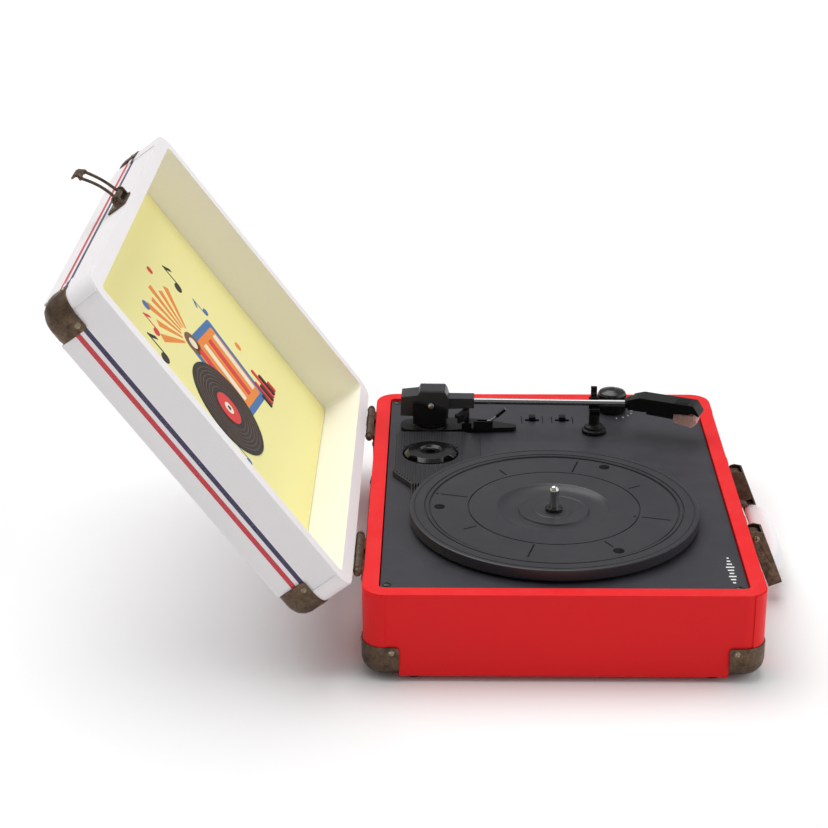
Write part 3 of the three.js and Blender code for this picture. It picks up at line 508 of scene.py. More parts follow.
def finishPiece(name, shape, looks, body, stands=(), edge=0.0, steps=2, smooth=40):
    if isinstance(shape, bmesh.types.BMesh):
        bmesh.ops.recalc_face_normals(shape, faces=shape.faces)
        mesh = bpy.data.meshes.new(name)
        shape.to_mesh(mesh)
        shape.free()
        mesh.transform(Matrix.Scale(mm, 4))
        for look in looks:
            mesh.materials.append(look)
        piece = bpy.data.objects.new(name, mesh)
        scene.collection.objects.link(piece)
    else:
        piece = shape
        piece.name = name
    if edge:
        bevel = piece.modifiers.new("edge", "BEVEL")
        bevel.width = edge * mm
        bevel.segments = steps
        bevel.limit_method = "ANGLE"
        bevel.angle_limit = math.radians(32)
        bevel.miter_outer = "MITER_ARC"
        freeze(piece)
    piece.data.shade_smooth()
    piece.data.set_sharp_from_angle(angle=math.radians(smooth))
    weight = piece.modifiers.new("shading", "WEIGHTED_NORMAL")
    weight.keep_sharp = True
    freeze(piece)
    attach(piece, body)
    if stands:
        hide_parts(*stands)
    return piece


# ---- geometry node trees for what repeats

def startTree(name, inputs):
    tree = bpy.data.node_groups.new(name, "GeometryNodeTree")
    tree.interface.new_socket("Geometry", in_out="INPUT", socket_type="NodeSocketGeometry")
    for label, kind in inputs.items():
        tree.interface.new_socket(label, in_out="INPUT", socket_type="NodeSocket" + kind)
    tree.interface.new_socket("Geometry", in_out="OUTPUT", socket_type="NodeSocketGeometry")
    return tree, tree.nodes.new("NodeGroupInput").outputs, tree.nodes.new("NodeGroupOutput").inputs


def endTree(tree, instances, look, out):
    whole = addNode(tree, "GeometryNodeRealizeInstances", None, {"Geometry": instances}).outputs[0]
    painted = addNode(tree, "GeometryNodeSetMaterial", None, {"Geometry": whole, "Material": look}).outputs[0]
    tree.links.new(painted, out["Geometry"])


def ringTree():
    # Count copies of Piece round a circle, from Start degrees through Sweep degrees
    tree, given, out = startTree("ring of pieces", {"Piece": "Object", "Look": "Material", "Count": "Int", "Centre": "Vector",
                                                    "Radius": "Float", "Start": "Float", "Sweep": "Float"})
    index = addNode(tree, "GeometryNodeInputIndex").outputs[0]
    share = math2(tree, "DIVIDE", index, given["Count"])
    degrees = math2(tree, "ADD", math2(tree, "MULTIPLY", share, given["Sweep"]), given["Start"])
    angle = math2(tree, "RADIANS", degrees, 0)
    x = math2(tree, "MULTIPLY", math2(tree, "COSINE", angle, 0), given["Radius"])
    y = math2(tree, "MULTIPLY", math2(tree, "SINE", angle, 0), given["Radius"])
    arm = addNode(tree, "ShaderNodeCombineXYZ", None, {0: x, 1: y}).outputs[0]
    place = addNode(tree, "ShaderNodeVectorMath", {"operation": "ADD"}, {0: arm, 1: given["Centre"]}).outputs[0]
    points = addNode(tree, "GeometryNodePoints", None, {"Count": given["Count"], "Position": place}).outputs[0]
    facing = addNode(tree, "ShaderNodeCombineXYZ", None, {2: angle}).outputs[0]
    source = addNode(tree, "GeometryNodeObjectInfo", None, {"Object": given["Piece"]}).outputs["Geometry"]
    copies = addNode(tree, "GeometryNodeInstanceOnPoints", None,
                     {"Points": points, "Instance": source, "Rotation": facing}).outputs[0]
    endTree(tree, copies, given["Look"], out)
    return tree


def rowTree():
    # Count copies of Piece in a line, Step apart
    tree, given, out = startTree("row of pieces", {"Piece": "Object", "Look": "Material", "Count": "Int",
                                                   "Start": "Vector", "Step": "Vector", "Turn": "Vector"})
    index = addNode(tree, "GeometryNodeInputIndex").outputs[0]
    along = addNode(tree, "ShaderNodeVectorMath", {"operation": "SCALE"}, {0: given["Step"], "Scale": index}).outputs[0]
    place = addNode(tree, "ShaderNodeVectorMath", {"operation": "ADD"}, {0: along, 1: given["Start"]}).outputs[0]
    points = addNode(tree, "GeometryNodePoints", None, {"Count": given["Count"], "Position": place}).outputs[0]
    source = addNode(tree, "GeometryNodeObjectInfo", None, {"Object": given["Piece"]}).outputs["Geometry"]
    copies = addNode(tree, "GeometryNodeInstanceOnPoints", None,
                     {"Points": points, "Instance": source, "Rotation": given["Turn"]}).outputs[0]
    endTree(tree, copies, given["Look"], out)
    return tree


def spotTree():
    # a copy of Piece on each point of the host mesh, standing along the point's aim and stretched by its size
    tree, given, out = startTree("pieces on spots", {"Piece": "Object", "Look": "Material"})
    aim = addNode(tree, "GeometryNodeInputNamedAttribute", {"data_type": "FLOAT_VECTOR"}, {"Name": "aim"}).outputs[0]
    size = addNode(tree, "GeometryNodeInputNamedAttribute", {"data_type": "FLOAT_VECTOR"}, {"Name": "size"}).outputs[0]
    turned = addNode(tree, "FunctionNodeAlignRotationToVector", {"axis": "Z"}, {"Vector": aim}).outputs[0]
    source = addNode(tree, "GeometryNodeObjectInfo", None, {"Object": given["Piece"]}).outputs["Geometry"]
    copies = addNode(tree, "GeometryNodeInstanceOnPoints", None,
                     {"Points": given["Geometry"], "Instance": source, "Rotation": turned, "Scale": size}).outputs[0]
    endTree(tree, copies, given["Look"], out)
    return tree


def meshTree():
    # a sheet of cells copied over a grid, its points merged, and the sheet given Thickness
    tree, given, out = startTree("perforated sheet", {"Piece": "Object", "Look": "Material", "Thickness": "Float"})
    size = addNode(tree, "GeometryNodeInputNamedAttribute", {"data_type": "FLOAT_VECTOR"}, {"Name": "size"}).outputs[0]
    source = addNode(tree, "GeometryNodeObjectInfo", None, {"Object": given["Piece"]}).outputs["Geometry"]
    copies = addNode(tree, "GeometryNodeInstanceOnPoints", None,
                     {"Points": given["Geometry"], "Instance": source, "Scale": size}).outputs[0]
    whole = addNode(tree, "GeometryNodeRealizeInstances", None, {"Geometry": copies}).outputs[0]
    merged = addNode(tree, "GeometryNodeMergeByDistance", None, {"Geometry": whole, "Distance": 0.00002}).outputs[0]
    raised = addNode(tree, "GeometryNodeExtrudeMesh", None, {"Mesh": merged, "Offset Scale": given["Thickness"],
                                                             "Individual": False}).outputs["Mesh"]
    back = addNode(tree, "GeometryNodeFlipFaces", None, {"Mesh": merged}).outputs[0]
    both = addNode(tree, "GeometryNodeJoinGeometry")
    tree.links.new(raised, both.inputs[0])
    tree.links.new(back, both.inputs[0])
    closed = addNode(tree, "GeometryNodeMergeByDistance", None, {"Geometry": both.outputs[0], "Distance": 0.00002}).outputs[0]
    endTree(tree, closed, given["Look"], out)
    return tree


ringOf = ringTree()
rowOf = rowTree()
onSpots = spotTree()
sheetOf = meshTree()


def seed(shape):
    # a loose piece for a tree to copy, removed again by grow()
    mesh = bpy.data.meshes.new("seed")
    bmesh.ops.recalc_face_normals(shape, faces=shape.faces)
    shape.to_mesh(mesh)
    shape.free()
    mesh.transform(Matrix.Scale(mm, 4))
    piece = bpy.data.objects.new("seed", mesh)
    scene.collection.objects.link(piece)
    return piece


def grow(tree, values, spots=None):
    host = bpy.data.objects.new("host", bpy.data.meshes.new("host"))
    if spots:
        host.data.from_pydata([place for place, aim, size in spots], [], [])
        for label, column in (("aim", 1), ("size", 2)):
            layer = host.data.attributes.new(label, "FLOAT_VECTOR", "POINT")
            for item, spot in zip(layer.data, spots):
                item.vector = spot[column]
    scene.collection.objects.link(host)
    modifier = host.modifiers.new("copies", "NODES")
    modifier.node_group = tree
    for item in tree.interface.items_tree:
        if item.in_out == "INPUT" and item.name in values:
            modifier[item.identifier] = values[item.name]
    bpy.context.view_layer.update()
    graph = bpy.context.evaluated_depsgraph_get()
    mesh = bpy.data.meshes.new_from_object(host.evaluated_get(graph), preserve_all_data_layers=True, depsgraph=graph)
    for label in ("aim", "size"):
        if label in mesh.attributes:
            mesh.attributes.remove(mesh.attributes[label])
    piece = bpy.data.objects.new("grown", mesh)
    scene.collection.objects.link(piece)
    bpy.data.objects.remove(host)
    bpy.data.objects.remove(values["Piece"])
    return piece


def spot(place, aim, size=1.0):
    return (Vector(place) * mm, Vector(aim), Vector((size, size, size)) if isinstance(size, float) else Vector(size))


def paint(look, *nodes):
    for node in nodes:
        for holder in frame["nodes"][node].material_slots:
            holder.link = "OBJECT"
            holder.material = look


def reshaped(name, nodes, look, edge=0.4, steps=2, smooth=40):
    nodes = (nodes,) if isinstance(nodes, str) else nodes
    return finishPiece(name, cadShape(*nodes), [look], bodyOf[nodes[0]], nodes, edge, steps, smooth)


def copiesOf(name, tree, shape, look, body, values=None, spots=None):
    grown = grow(tree, {"Piece": seed(shape), "Look": look, **(values or {})}, spots)
    return finishPiece(name, grown, [look], body)


def disc(x, y, radius, steps=40, squeeze=1.0):
    return [(x + radius * math.cos(2 * math.pi * i / steps), y + squeeze * radius * math.sin(2 * math.pi * i / steps))
            for i in range(steps)]


def roundedOutline(width, depth, radius, x=0.0, y=0.0, steps=8):
    points = []
    for cx, cy, start in ((1, -1, -90), (1, 1, 0), (-1, 1, 90), (-1, -1, 180)):
        for i in range(steps + 1):
            angle = math.radians(start + 90 * i / steps)
            points.append((x + cx * (width / 2 - radius) + radius * math.cos(angle),
                           y + cy * (depth / 2 - radius) + radius * math.sin(angle)))
    return points


def domeScrew(radius, height):
    # domed head with a cross recess, standing on z = 0
    arc = [(radius * math.sin(a), height * math.cos(a)) for a in [i * math.pi / 16 for i in range(9)]]
    shape = bmesh.new()
    turn(shape, [(0, height)] + arc[1:] + [(radius, -0.3), (0, -0.3)], steps=28)
    head = seed(shape)
    cutter = bmesh.new()
    long, short = radius * 0.62, radius * 0.13
    cross = [(long, -short), (long, short), (short, short), (short, long), (-short, long), (-short, short)]
    cross += [(-x, -y) for x, y in cross]
    prism(cutter, cross, height * 0.4, height * 2)
    knife = seed(cutter)
    carve = head.modifiers.new("recess", "BOOLEAN")
    carve.object = knife
    freeze(head)
    result = bmesh.new()
    result.from_mesh(head.data)
    bmesh.ops.scale(result, vec=(1 / mm, 1 / mm, 1 / mm), verts=result.verts)
    bpy.data.objects.remove(knife)
    bpy.data.objects.remove(head)
    return result


# ---- case base

case = {"halfX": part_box("base_shell")[1].x / mm, "halfY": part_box("base_shell")[1].y / mm,
        "height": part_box("base_shell")[1].z / mm, "corner": 15.0}
lap = {"proud": 0.65, "backStart": 1.0, "frontStart": 25.0}
lidFrame = {"rim": 0.4, "top": 42.4, "middle": -137.8}


def lapSheets(shape, z0, z1, middle=0.0):
    # the thin overlap of the covering round each upright corner
    inner, outer = case["corner"] - 0.4, case["corner"] + lap["proud"]
    for x in sides.values():
        for y in ends.values():
            begin = lap["backStart"] if y > 0 else lap["frontStart"]
            angles = [math.radians(begin + (90 - begin) * i / 12) for i in range(13)]
            cx, cy = case["halfX"] - case["corner"], case["halfY"] - case["corner"]
            ring = [(cx + outer * math.cos(a), cy + outer * math.sin(a)) for a in angles]
            ring += [(cx - 22, cy + outer), (cx - 22, cy + inner)]
            ring += [(cx + inner * math.cos(a), cy + inner * math.sin(a)) for a in reversed(angles)]
            prism(shape, [(x * px, y * py + middle) for px, py in ring], z0, z1)


reshaped("case_base", "base_shell", redCover, 1.1, 3)
shape = bmesh.new()
lapSheets(shape, 12.0, case["height"] - 0.9)
finishPiece("base_cover_laps", shape, [redCover], "case")
paint(rawBoard, "bottom_panel")
reshaped("deck", "deck_plate", deckBlack, 0.5)
shape = bmesh.new()
for x in sides.values():
    for y in ends.values():
        place = Matrix.Translation((x * 166, y * 100, 0))
        turn(shape, [(0, -4.3), (5.6, -4.3), (6.3, -4.1), (6.8, -3.6), (7, -2.9), (7, -0.3), (0, -0.3)], place, 40)
finishPiece("feet", shape, [rubberBlack], "case",
            [n for n in frame["nodes"] if n.startswith("foot_")])

for corner in ("front_left", "front_right", "back_left", "back_right"):
    reshaped("corner_cap_base_" + corner, "base_corner_" + corner, bronzePlate, 0.35)
    reshaped("corner_cap_lid_" + corner, "lid_corner_" + corner, bronzePlate, 0.35)

cornerScrew = {"inset": 19.0, "up": 17.6, "proud": 1.4, "radius": 2.1, "height": 1.1}


def cornerScrewSpots(place, middle=0.0, up=None):
    up = cornerScrew["up"] if up is None else up
    found = []
    turned = place.to_3x3()
    for x in sides.values():
        for y in ends.values():
            reach = cornerScrew["proud"]
            onSide = Vector((x * (case["halfX"] + reach), y * (case["halfY"] - cornerScrew["inset"]) + middle, up))
            onEnd = Vector((x * (case["halfX"] - cornerScrew["inset"]), y * (case["halfY"] + reach) + middle, up))
            found.append(spot(place @ onSide, turned @ Vector((x, 0, 0))))
            found.append(spot(place @ onEnd, turned @ Vector((0, y, 0))))
    return found


copiesOf("corner_screws_base", onSpots, domeScrew(cornerScrew["radius"], cornerScrew["height"]), bronzeScrew, "case",
         None, cornerScrewSpots(Matrix()))
copiesOf("corner_screws_lid", onSpots, domeScrew(cornerScrew["radius"], cornerScrew["height"]), bronzeScrew, "lid",
         None, cornerScrewSpots(lidPlace, lidFrame["middle"], lidFrame["top"] - cornerScrew["up"]))

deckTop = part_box("deck_plate")[1].z / mm
deckScrews = ((-160, 117.6), (-164, -116), (162, 117.5), (164, -117))
copiesOf("deck_screws", onSpots, domeScrew(3.0, 1.2), blackScrew, "case", None,
         [spot((x, y, deckTop), (0, 0, 1)) for x, y in deckScrews])
print("case base done")


# ---- plinth with ribs, and the record adapter

plinth = {"high": 118.0, "end": 92.0, "top": 63.2, "pitch": 1.9, "clear": 103.9, "width": 0.95,
          "rise": 0.6, "slant": ((-6.0, 104.0), (17.0, 118.0)), "well": 21.9, "ramp": 64.5}
adapterCentre = [value / mm for value in (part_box("adapter_45")[0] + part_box("adapter_45")[1]) * 0.5]
centreX, centreY = platterCentre[0] / mm, platterCentre[1] / mm


def ribRuns(y):
    # the stretches along X where a rib at this Y stands on the plinth
    start = centreX + math.sqrt(max(0.0, plinth["clear"] ** 2 - (y - centreY) ** 2))
    (x0, y0), (x1, y1) = plinth["slant"]
    if y > y0:
        start = max(start, x0 + (y - y0) * (x1 - x0) / (y1 - y0) + 1.5)
    start += 1.5
    away = abs(y - adapterCentre[1])
    if away >= plinth["well"]:
        return [(start, plinth["end"] - 1)]
    half = math.sqrt(plinth["well"] ** 2 - away ** 2)
    return [(start, adapterCentre[0] - half), (adapterCentre[0] + half, plinth["end"] - 1)]


reshaped("plinth", "ribbed_plinth", ribBlack, 0.35)
shape = bmesh.new()
prism(shape, [(-0.5, -0.5), (-0.5, 0.5), (-0.25, 1.0), (0.25, 1.0), (0.5, 0.5), (0.5, -0.5)], -0.5, 0.5,
      Matrix(((0, 0, 1, 0), (1, 0, 0, 0), (0, 1, 0, 0), (0, 0, 0, 1))))
spots = []
for i in range(int((plinth["high"] - plinth["ramp"]) / plinth["pitch"])):
    y = plinth["ramp"] + 0.8 + i * plinth["pitch"]
    for x0, x1 in ribRuns(y):
        if x1 - x0 > 1.5:
            spots.append(spot(((x0 + x1) / 2, y, plinth["top"]), (0, 0, 1),
                              (x1 - x0, plinth["width"], plinth["rise"])))
copiesOf("plinth_ribs", onSpots, shape, ribBlack, "case", None, spots)
shape = bmesh.new()
prism(shape, [(-1.3, -0.42), (1.3, -0.2), (1.3, 0.2), (-1.3, 0.42)], 0, 1.1)
copiesOf("well_teeth", ringOf, shape, ribBlack, "case",
         {"Count": 44, "Centre": Vector((adapterCentre[0], adapterCentre[1], plinth["top"] - 0.3)) * mm,
          "Radius": 22.7 * mm, "Start": -62.0, "Sweep": 124.0})
reshaped("record_adapter", "adapter_45", glossBlack, 0.45, 3, 50)
print("plinth done")


# ---- platter and drive

platterForm = {"ticks": {"long": (62.8, 83.0, 1.2), "short": (63.8, 74.0, 1.2)}, "matTop": 68.1, "screwAt": 81.0}
platterProfile = [
    (97.9, 60.5), (101.2, 60.5), (102.2, 61.5), (102.2, 68.1), (102.05, 68.55), (101.7, 68.85), (101.1, 69.0),
    (99.2, 69.0), (99.0, 68.6), (98.5, 68.6), (98.3, 69.0), (91.9, 69.0), (91.6, 68.2), (90.9, 68.2),
    (90.6, 68.95), (88.9, 68.95), (88.5, 68.5), (88.3, 67.5), (87.5, 67.5), (87.3, 68.1), (61.1, 68.1), (60.9, 67.2),
    (60.3, 67.2), (60.1, 68.1), (41.0, 68.1), (40.2, 67.95), (39.3, 67.4), (37.6, 66.2), (33, 65.3), (27, 64.8),
    (25.5, 64.8), (25.0, 65.2), (24.5, 66.1), (23.6, 66.2), (23.0, 65.9), (13.4, 65.6), (12.8, 65.9), (9.6, 66.0),
    (9.2, 65.9), (3.9, 65.9), (3.9, 60.3), (9.5, 60.3), (9.5, 62.9), (60, 62.9), (60, 60.5), (64, 60.5), (64, 64.5),
    (97.9, 64.5), (97.9, 60.5)]
platterPlace = Matrix.Translation((centreX, centreY, 0))
shape = bmesh.new()
turn(shape, platterProfile, platterPlace, 240)
finishPiece("platter_disc", shape, [platterBlack], "platter", ["platter"], 0, 0, 28)
for label, start in (("long", 75.0), ("short", 30.0)):
    near, far, width = platterForm["ticks"][label]
    shape = bmesh.new()
    block(shape, (near, -width / 2, 0), (far, width / 2, 0.05))
    copiesOf("platter_marks_" + label, ringOf, shape, tickBlack, "platter",
             {"Count": 4, "Centre": Vector((centreX, centreY, platterForm["matTop"])) * mm, "Radius": 0.0,
              "Start": start, "Sweep": 360.0})
shape = bmesh.new()
for radius, degrees in ((85.4, 75), (58.0, 255)):
    angle = math.radians(degrees)
    prism(shape, disc(centreX + radius * math.cos(angle), centreY + radius * math.sin(angle), 1.0, 20),
          platterForm["matTop"], platterForm["matTop"] + 0.06)
finishPiece("platter_dots", shape, [tickBlack], "platter")
shape = bmesh.new()
turn(shape, [(0, 0.75), (1.2, 0.7), (1.9, 0.35), (2.3, 0.3), (3.6, 0.3), (3.9, 0.15), (3.9, -0.2), (0, -0.2)], steps=36)
copiesOf("platter_rivets", ringOf, shape, tickBlack, "platter",
         {"Count": 3, "Centre": Vector((centreX, centreY, platterForm["matTop"])) * mm,
          "Radius": platterForm["screwAt"] * mm, "Start": 90.0, "Sweep": 360.0})
shape = bmesh.new()
turn(shape, [(0, 44), (3.3, 44), (3.3, 66.2), (3.5, 66.4), (3.55, 81.0), (3.4, 81.9), (2.9, 82.9), (2.0, 83.9),
             (1.0, 84.4), (0, 84.5)], platterPlace, 48)
finishPiece("spindle_pin", shape, [chromePlate], "platter", ["spindle"])
shape = bmesh.new()
turn(shape, [(3.6, 66.2), (6.2, 66.2), (6.2, 67.8), (5.9, 68.2), (5.3, 68.2), (5.1, 67.9), (4.6, 67.9), (4.4, 68.2),
             (3.6, 68.2), (3.6, 66.2)], platterPlace, 64)
finishPiece("spindle_washer", shape, [glossBlack], "platter")
paint(turnedBrass, "bearing_bush", "motor_pulley")
paint(brightSteel, "motor")
paint(rubberBlack, "drive_belt")
paint(boardGreen, "amplifier_board")
paint(paperCone, "speaker_left", "speaker_right")
print("platter done")


# ---- tonearm

pivot = jointPlace("tonearm_swing")
armLift = jointPlace("tonearm_lift")
arm = {"at": (109, 90, 82.5), "facing": 180 - 1.7, "headAt": 160, "headTurn": -19}
armPlace = Matrix.Translation(arm["at"]) @ Matrix.Rotation(math.radians(arm["facing"]), 4, "Z")
headPlace = (armPlace @ Matrix.Translation((0, arm["headAt"], 0))
             @ Matrix.Rotation(math.radians(arm["headTurn"]), 4, "Z"))
restAt = (105.23 - 2.4, -36.94)

reshaped("arm_stand", "tonearm_base", armBlack, 0.5)
reshaped("arm_turret", "tonearm_turret", armBlack, 0.45)
# the arm block and its ribs take the lighter copy of the arm's black plastic: painted light for their lit top
reshaped("arm_block", "tonearm_block", armBlackPaintedLit, 0.7, 3)
shape = bmesh.new()
block(shape, (-8.2, -0.45, 0), (8.2, 0.45, 0.9))
armTurn = Vector((0, 0, math.radians(180 - 1.7)))
copiesOf("arm_block_ribs", rowOf, shape, armBlackPaintedLit, "tonearm",
         {"Count": 10, "Start": (armPlace @ Vector((0, -7.4, 10.3))) * mm,
          "Step": (armPlace.to_3x3() @ Vector((0, 1.9, 0))) * mm, "Turn": armTurn})
shape = bmesh.new()
turn(shape, [(1.9, 24), (1.9, 160), (2.5, 160), (2.5, 22.4), (1.9, 22.4), (1.9, 24)],
     armPlace @ Matrix.Rotation(math.radians(-90), 4, "X"), 48)
finishPiece("arm_tube", shape, [tubeChrome], "tonearm", ["tonearm_tube"])
reshaped("head_shell", "headshell", armBlack, 0.5, 3)
shape = bmesh.new()
block(shape, (-5.6, -0.4, 0), (5.6, 0.4, 0.5))
copiesOf("head_ridges", rowOf, shape, armBlack, "tonearm",
         {"Count": 6, "Start": (headPlace @ Vector((0, 32, 7.0))) * mm,
          "Step": (headPlace.to_3x3() @ Vector((0, 1.7, 0))) * mm,
          "Turn": Vector((0, 0, math.radians(arm["facing"] + arm["headTurn"])))})
reshaped("cartridge_body", "cartridge", glossBlack, 0.3)
reshaped("stylus_cover", "stylus_guard", clearPink, 0.25)
shape = bmesh.new()
turn(shape, [(0, deckTop + 0.3), (9.5, deckTop + 0.3), (9.5, 61.5), (9.2, 61.9), (8.6, 62.1), (7.8, 62.3), (7.6, 62.7),
             (7.6, 64.0), (7.3, 64.4), (6.2, 64.6), (4.9, 65.0), (4.4, 65.8), (4.2, 67.5), (4.2, 74), (0, 74)],
     Matrix.Translation((restAt[0], restAt[1], 0)), 56)
restX, restY = restAt[0] + 2.4, restAt[1]
for low, high in (((-6.2, -4, 73.5), (5.6, 4, 76.5)), ((-6.2, -4, 75), (-4.5, 4, 79.2)), ((3.6, -4, 75), (5.6, 4, 85.6))):
    block(shape, low, high, Matrix.Translation((restX, restY, 0)))
finishPiece("arm_cradle", shape, [armBlack], "case", ["arm_rest"], 0.4)
reshaped("arm_lock", "arm_clip", armBlack, 0.35)
reshaped("lift_platform", "cue_lift", armBlack, 0.35)


def leverShape():
    shape = cadShape("cue_lever")
    low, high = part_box("cue_lever")
    split = high.y / mm - 6.9
    for face in shape.faces:
        face.material_index = 1 if face.calc_center_median().y < split else 0
    return shape


finishPiece("lift_lever", leverShape(), [brightSteel, armBlack], "cue_lever", ["cue_lever"], 0.3)
shape = bmesh.new()
pivotCap = [(0, 1.3), (1.6, 1.2), (2.2, 0.8), (2.4, 0), (0, 0)]
for side in (-1, 1):
    turn(shape, pivotCap, Matrix.Translation((pivot.x + side * 12, armLift.y, armLift.z))
         @ Matrix.Rotation(math.radians(side * 90), 4, "Y"), 32)
finishPiece("arm_pivot_caps", shape, [brightSteel], "tonearm_turret")
print("tonearm done")


# ---- controls and printed marks

knobForm = {"bottom": deckTop + 1.2, "top": deckTop + 15.0}
knobX, knobY = knobCentre[0] / mm, knobCentre[1] / mm
knobPlace = Matrix.Translation((knobX, knobY, 0))
shape = bmesh.new()
turn(shape, [(0, deckTop - 6), (2.6, deckTop - 6), (2.6, deckTop + 2.2), (9, deckTop + 2.2), (9, deckTop + 1.2),
             (10.7, deckTop + 1.2), (11.0, deckTop + 1.6), (11.1, deckTop + 14.6), (11.0, deckTop + 15.4),
             (10.3, deckTop + 16.6), (9.6, deckTop + 17.1), (5.0, deckTop + 18.6), (3.0, deckTop + 18.9),
             (2.6, deckTop + 19.4), (1.4, deckTop + 19.6), (0, deckTop + 19.6)], knobPlace, 96)
finishPiece("volume_dial", shape, [knobBlack], "volume_knob", ["volume_knob"], 0, 0, 30)
shape = bmesh.new()
prism(shape, [(-0.3, -0.28), (0.35, -0.16), (0.35, 0.16), (-0.3, 0.28)], knobForm["bottom"] + 0.6, knobForm["top"] - 0.4)
copiesOf("volume_dial_ribs", ringOf, shape, knobBlack, "volume_knob",
         {"Count": 54, "Centre": Vector((knobX, knobY, 0)) * mm, "Radius": 11.1 * mm, "Start": 0.0, "Sweep": 360.0})
shape = bmesh.new()
block(shape, (-0.4, -10.4, 0), (0.4, -6.6, 0.35), Matrix.Translation((knobX, knobY, deckTop + 16.9)))
finishPiece("volume_dial_pointer", shape, [whiteInk], "volume_knob")
for label, node in (("speed", "speed_switch"), ("autostop", "autostop_switch")):
    reshaped(label + "_slider", node, armBlack, 0.3)
    low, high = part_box(node)
    shape = bmesh.new()
    block(shape, (-2.4, -0.3, 0), (2.4, 0.3, 0.45))
    middle = (low + high) * 0.5 / mm
    copiesOf(label + "_slider_ridges", rowOf, shape, armBlack, node,
             {"Count": 4, "Start": Vector((middle.x, middle.y - 1.65, high.z / mm - 0.1)) * mm,
              "Step": Vector((0, 1.1, 0)) * mm, "Turn": Vector((0, 0, 0))})
    bezel = bmesh.new()
    for side in (-1, 1):
        block(bezel, (middle.x - 7.0, middle.y + side * 8.2 - 0.35, deckTop),
              (middle.x + 7.0, middle.y + side * 8.2 + 0.35, deckTop + 0.08))
    finishPiece(label + "_slot_lines", bezel, [tickBlack], "case")
shape = bmesh.new()
block(shape, (-0.9, -0.3, 0), (0.9, 0.3, 0.06))
copiesOf("volume_scale", ringOf, shape, whiteInk, "case",
         {"Count": 9, "Centre": Vector((knobX, knobY, deckTop)) * mm, "Radius": 16.2 * mm, "Start": 190.0, "Sweep": 180.0})
bars = {"start": -156.0, "pitch": 4.6, "y": -113.5, "width": 1.7, "heights": (2.0, 3.4, 5.0, 3.0, 4.2, 5.6, 3.6, 2.4, 1.4)}
shape = bmesh.new()
for i, height in enumerate(bars["heights"]):
    x = bars["start"] + i * bars["pitch"]
    block(shape, (x, bars["y"] - height / 2, deckTop), (x + bars["width"], bars["y"] + height / 2, deckTop + 0.06))
finishPiece("deck_bars", shape, [whiteInk], "case")
print("controls done")


# ---- sockets and speakers

reshaped("socket_plate", "jack_plate", armBlack, 0.4)
reshaped("power_socket", "power_inlet", armBlack, 0.2)
reshaped("line_sockets", "audio_sockets", chromePlate, 0.15)
toBack = Matrix.Rotation(math.radians(-90), 4, "X")
for label, x, ink in (("left", 10, (0.82, 0.80, 0.78)), ("right", 28, (0.62, 0.03, 0.03))):
    shape = bmesh.new()
    turn(shape, [(5.6, 0), (6.6, 0), (6.6, 0.5), (6.3, 0.8), (5.8, 0.8), (5.6, 0.5), (5.6, 0)],
         Matrix.Translation((x, case["halfY"] + 1.9, 28)) @ toBack, 48)
    finishPiece("socket_ring_" + label, shape, [moulded("socket_ring_" + label, ink, 0.35)], "case")
copiesOf("socket_plate_screws", onSpots, domeScrew(2.2, 0.9), blackScrew, "case", None,
         [spot((x, case["halfY"] + 1.9, z), (0, 1, 0)) for x in (-50.5, 50.5) for z in (17.5, 38.5)])

grille = {"width": 62.0, "height": 44.0, "border": 4.5, "pitch": 2.95, "hole": 0.95, "thick": 1.2}


def grilleCell():
    # one square of sheet with a round hole, facing the front
    shape = bmesh.new()
    half = grille["pitch"] / 2
    outer, inner = [], []
    for i in range(8):
        angle = math.radians(45 * i)
        reach = half / max(abs(math.cos(angle)), abs(math.sin(angle)))
        outer.append(shape.verts.new((reach * math.cos(angle), 0, reach * math.sin(angle))))
        inner.append(shape.verts.new((grille["hole"] * math.cos(angle), 0, grille["hole"] * math.sin(angle))))
    for i in range(8):
        j = (i + 1) % 8
        shape.faces.new((outer[i], outer[j], inner[j], inner[i]))
    return shape


for label, side in sides.items():
    node = "speaker_grille_" + label
    low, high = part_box(node)
    middle = (low + high) * 0.5 / mm
    countX = round((grille["width"] - 2 * grille["border"]) / grille["pitch"])
    countZ = round((grille["height"] - 2 * grille["border"]) / grille["pitch"])
    spots = [spot((middle.x + (i - (countX - 1) / 2) * grille["pitch"], high.y / mm - 0.25,
                   middle.z + (j - (countZ - 1) / 2) * grille["pitch"]), (0, 0, 1))
             for i in range(countX) for j in range(countZ)]
    copiesOf("grille_mesh_" + label, sheetOf, grilleCell(), armBlack, "case",
             {"Thickness": 0.0007}, spots)
    shape = bmesh.new()
    steps = 10
    outer = roundedOutline(grille["width"], grille["height"], 8, middle.x, middle.z, steps)
    inner = roundedOutline(countX * grille["pitch"], countZ * grille["pitch"], 0.6, middle.x, middle.z, steps)
    rings = []
    for outline, y in ((outer, high.y / mm), (outer, low.y / mm), (inner, low.y / mm), (inner, high.y / mm)):
        rings.append([shape.verts.new((px, y, pz)) for px, pz in outline])
    for a, b in zip(rings, rings[1:] + rings[:1]):
        for i in range(len(a)):
            j = (i + 1) % len(a)
            shape.faces.new((a[i], a[j], b[j], b[i]))
    finishPiece("grille_frame_" + label, shape, [armBlack], "case", [node], 0.35)
print("sockets and speakers done")


# ---- lid

hingePoint = jointPlace("lid_hinge")
lining = {"wallX": 167.4, "wallY": 122.9, "floor": 6.8}
lidSurface = lidFrame["top"] - 5.8


def inLid(shape):
    bmesh.ops.transform(shape, matrix=lidPlace, verts=shape.verts)
    return shape


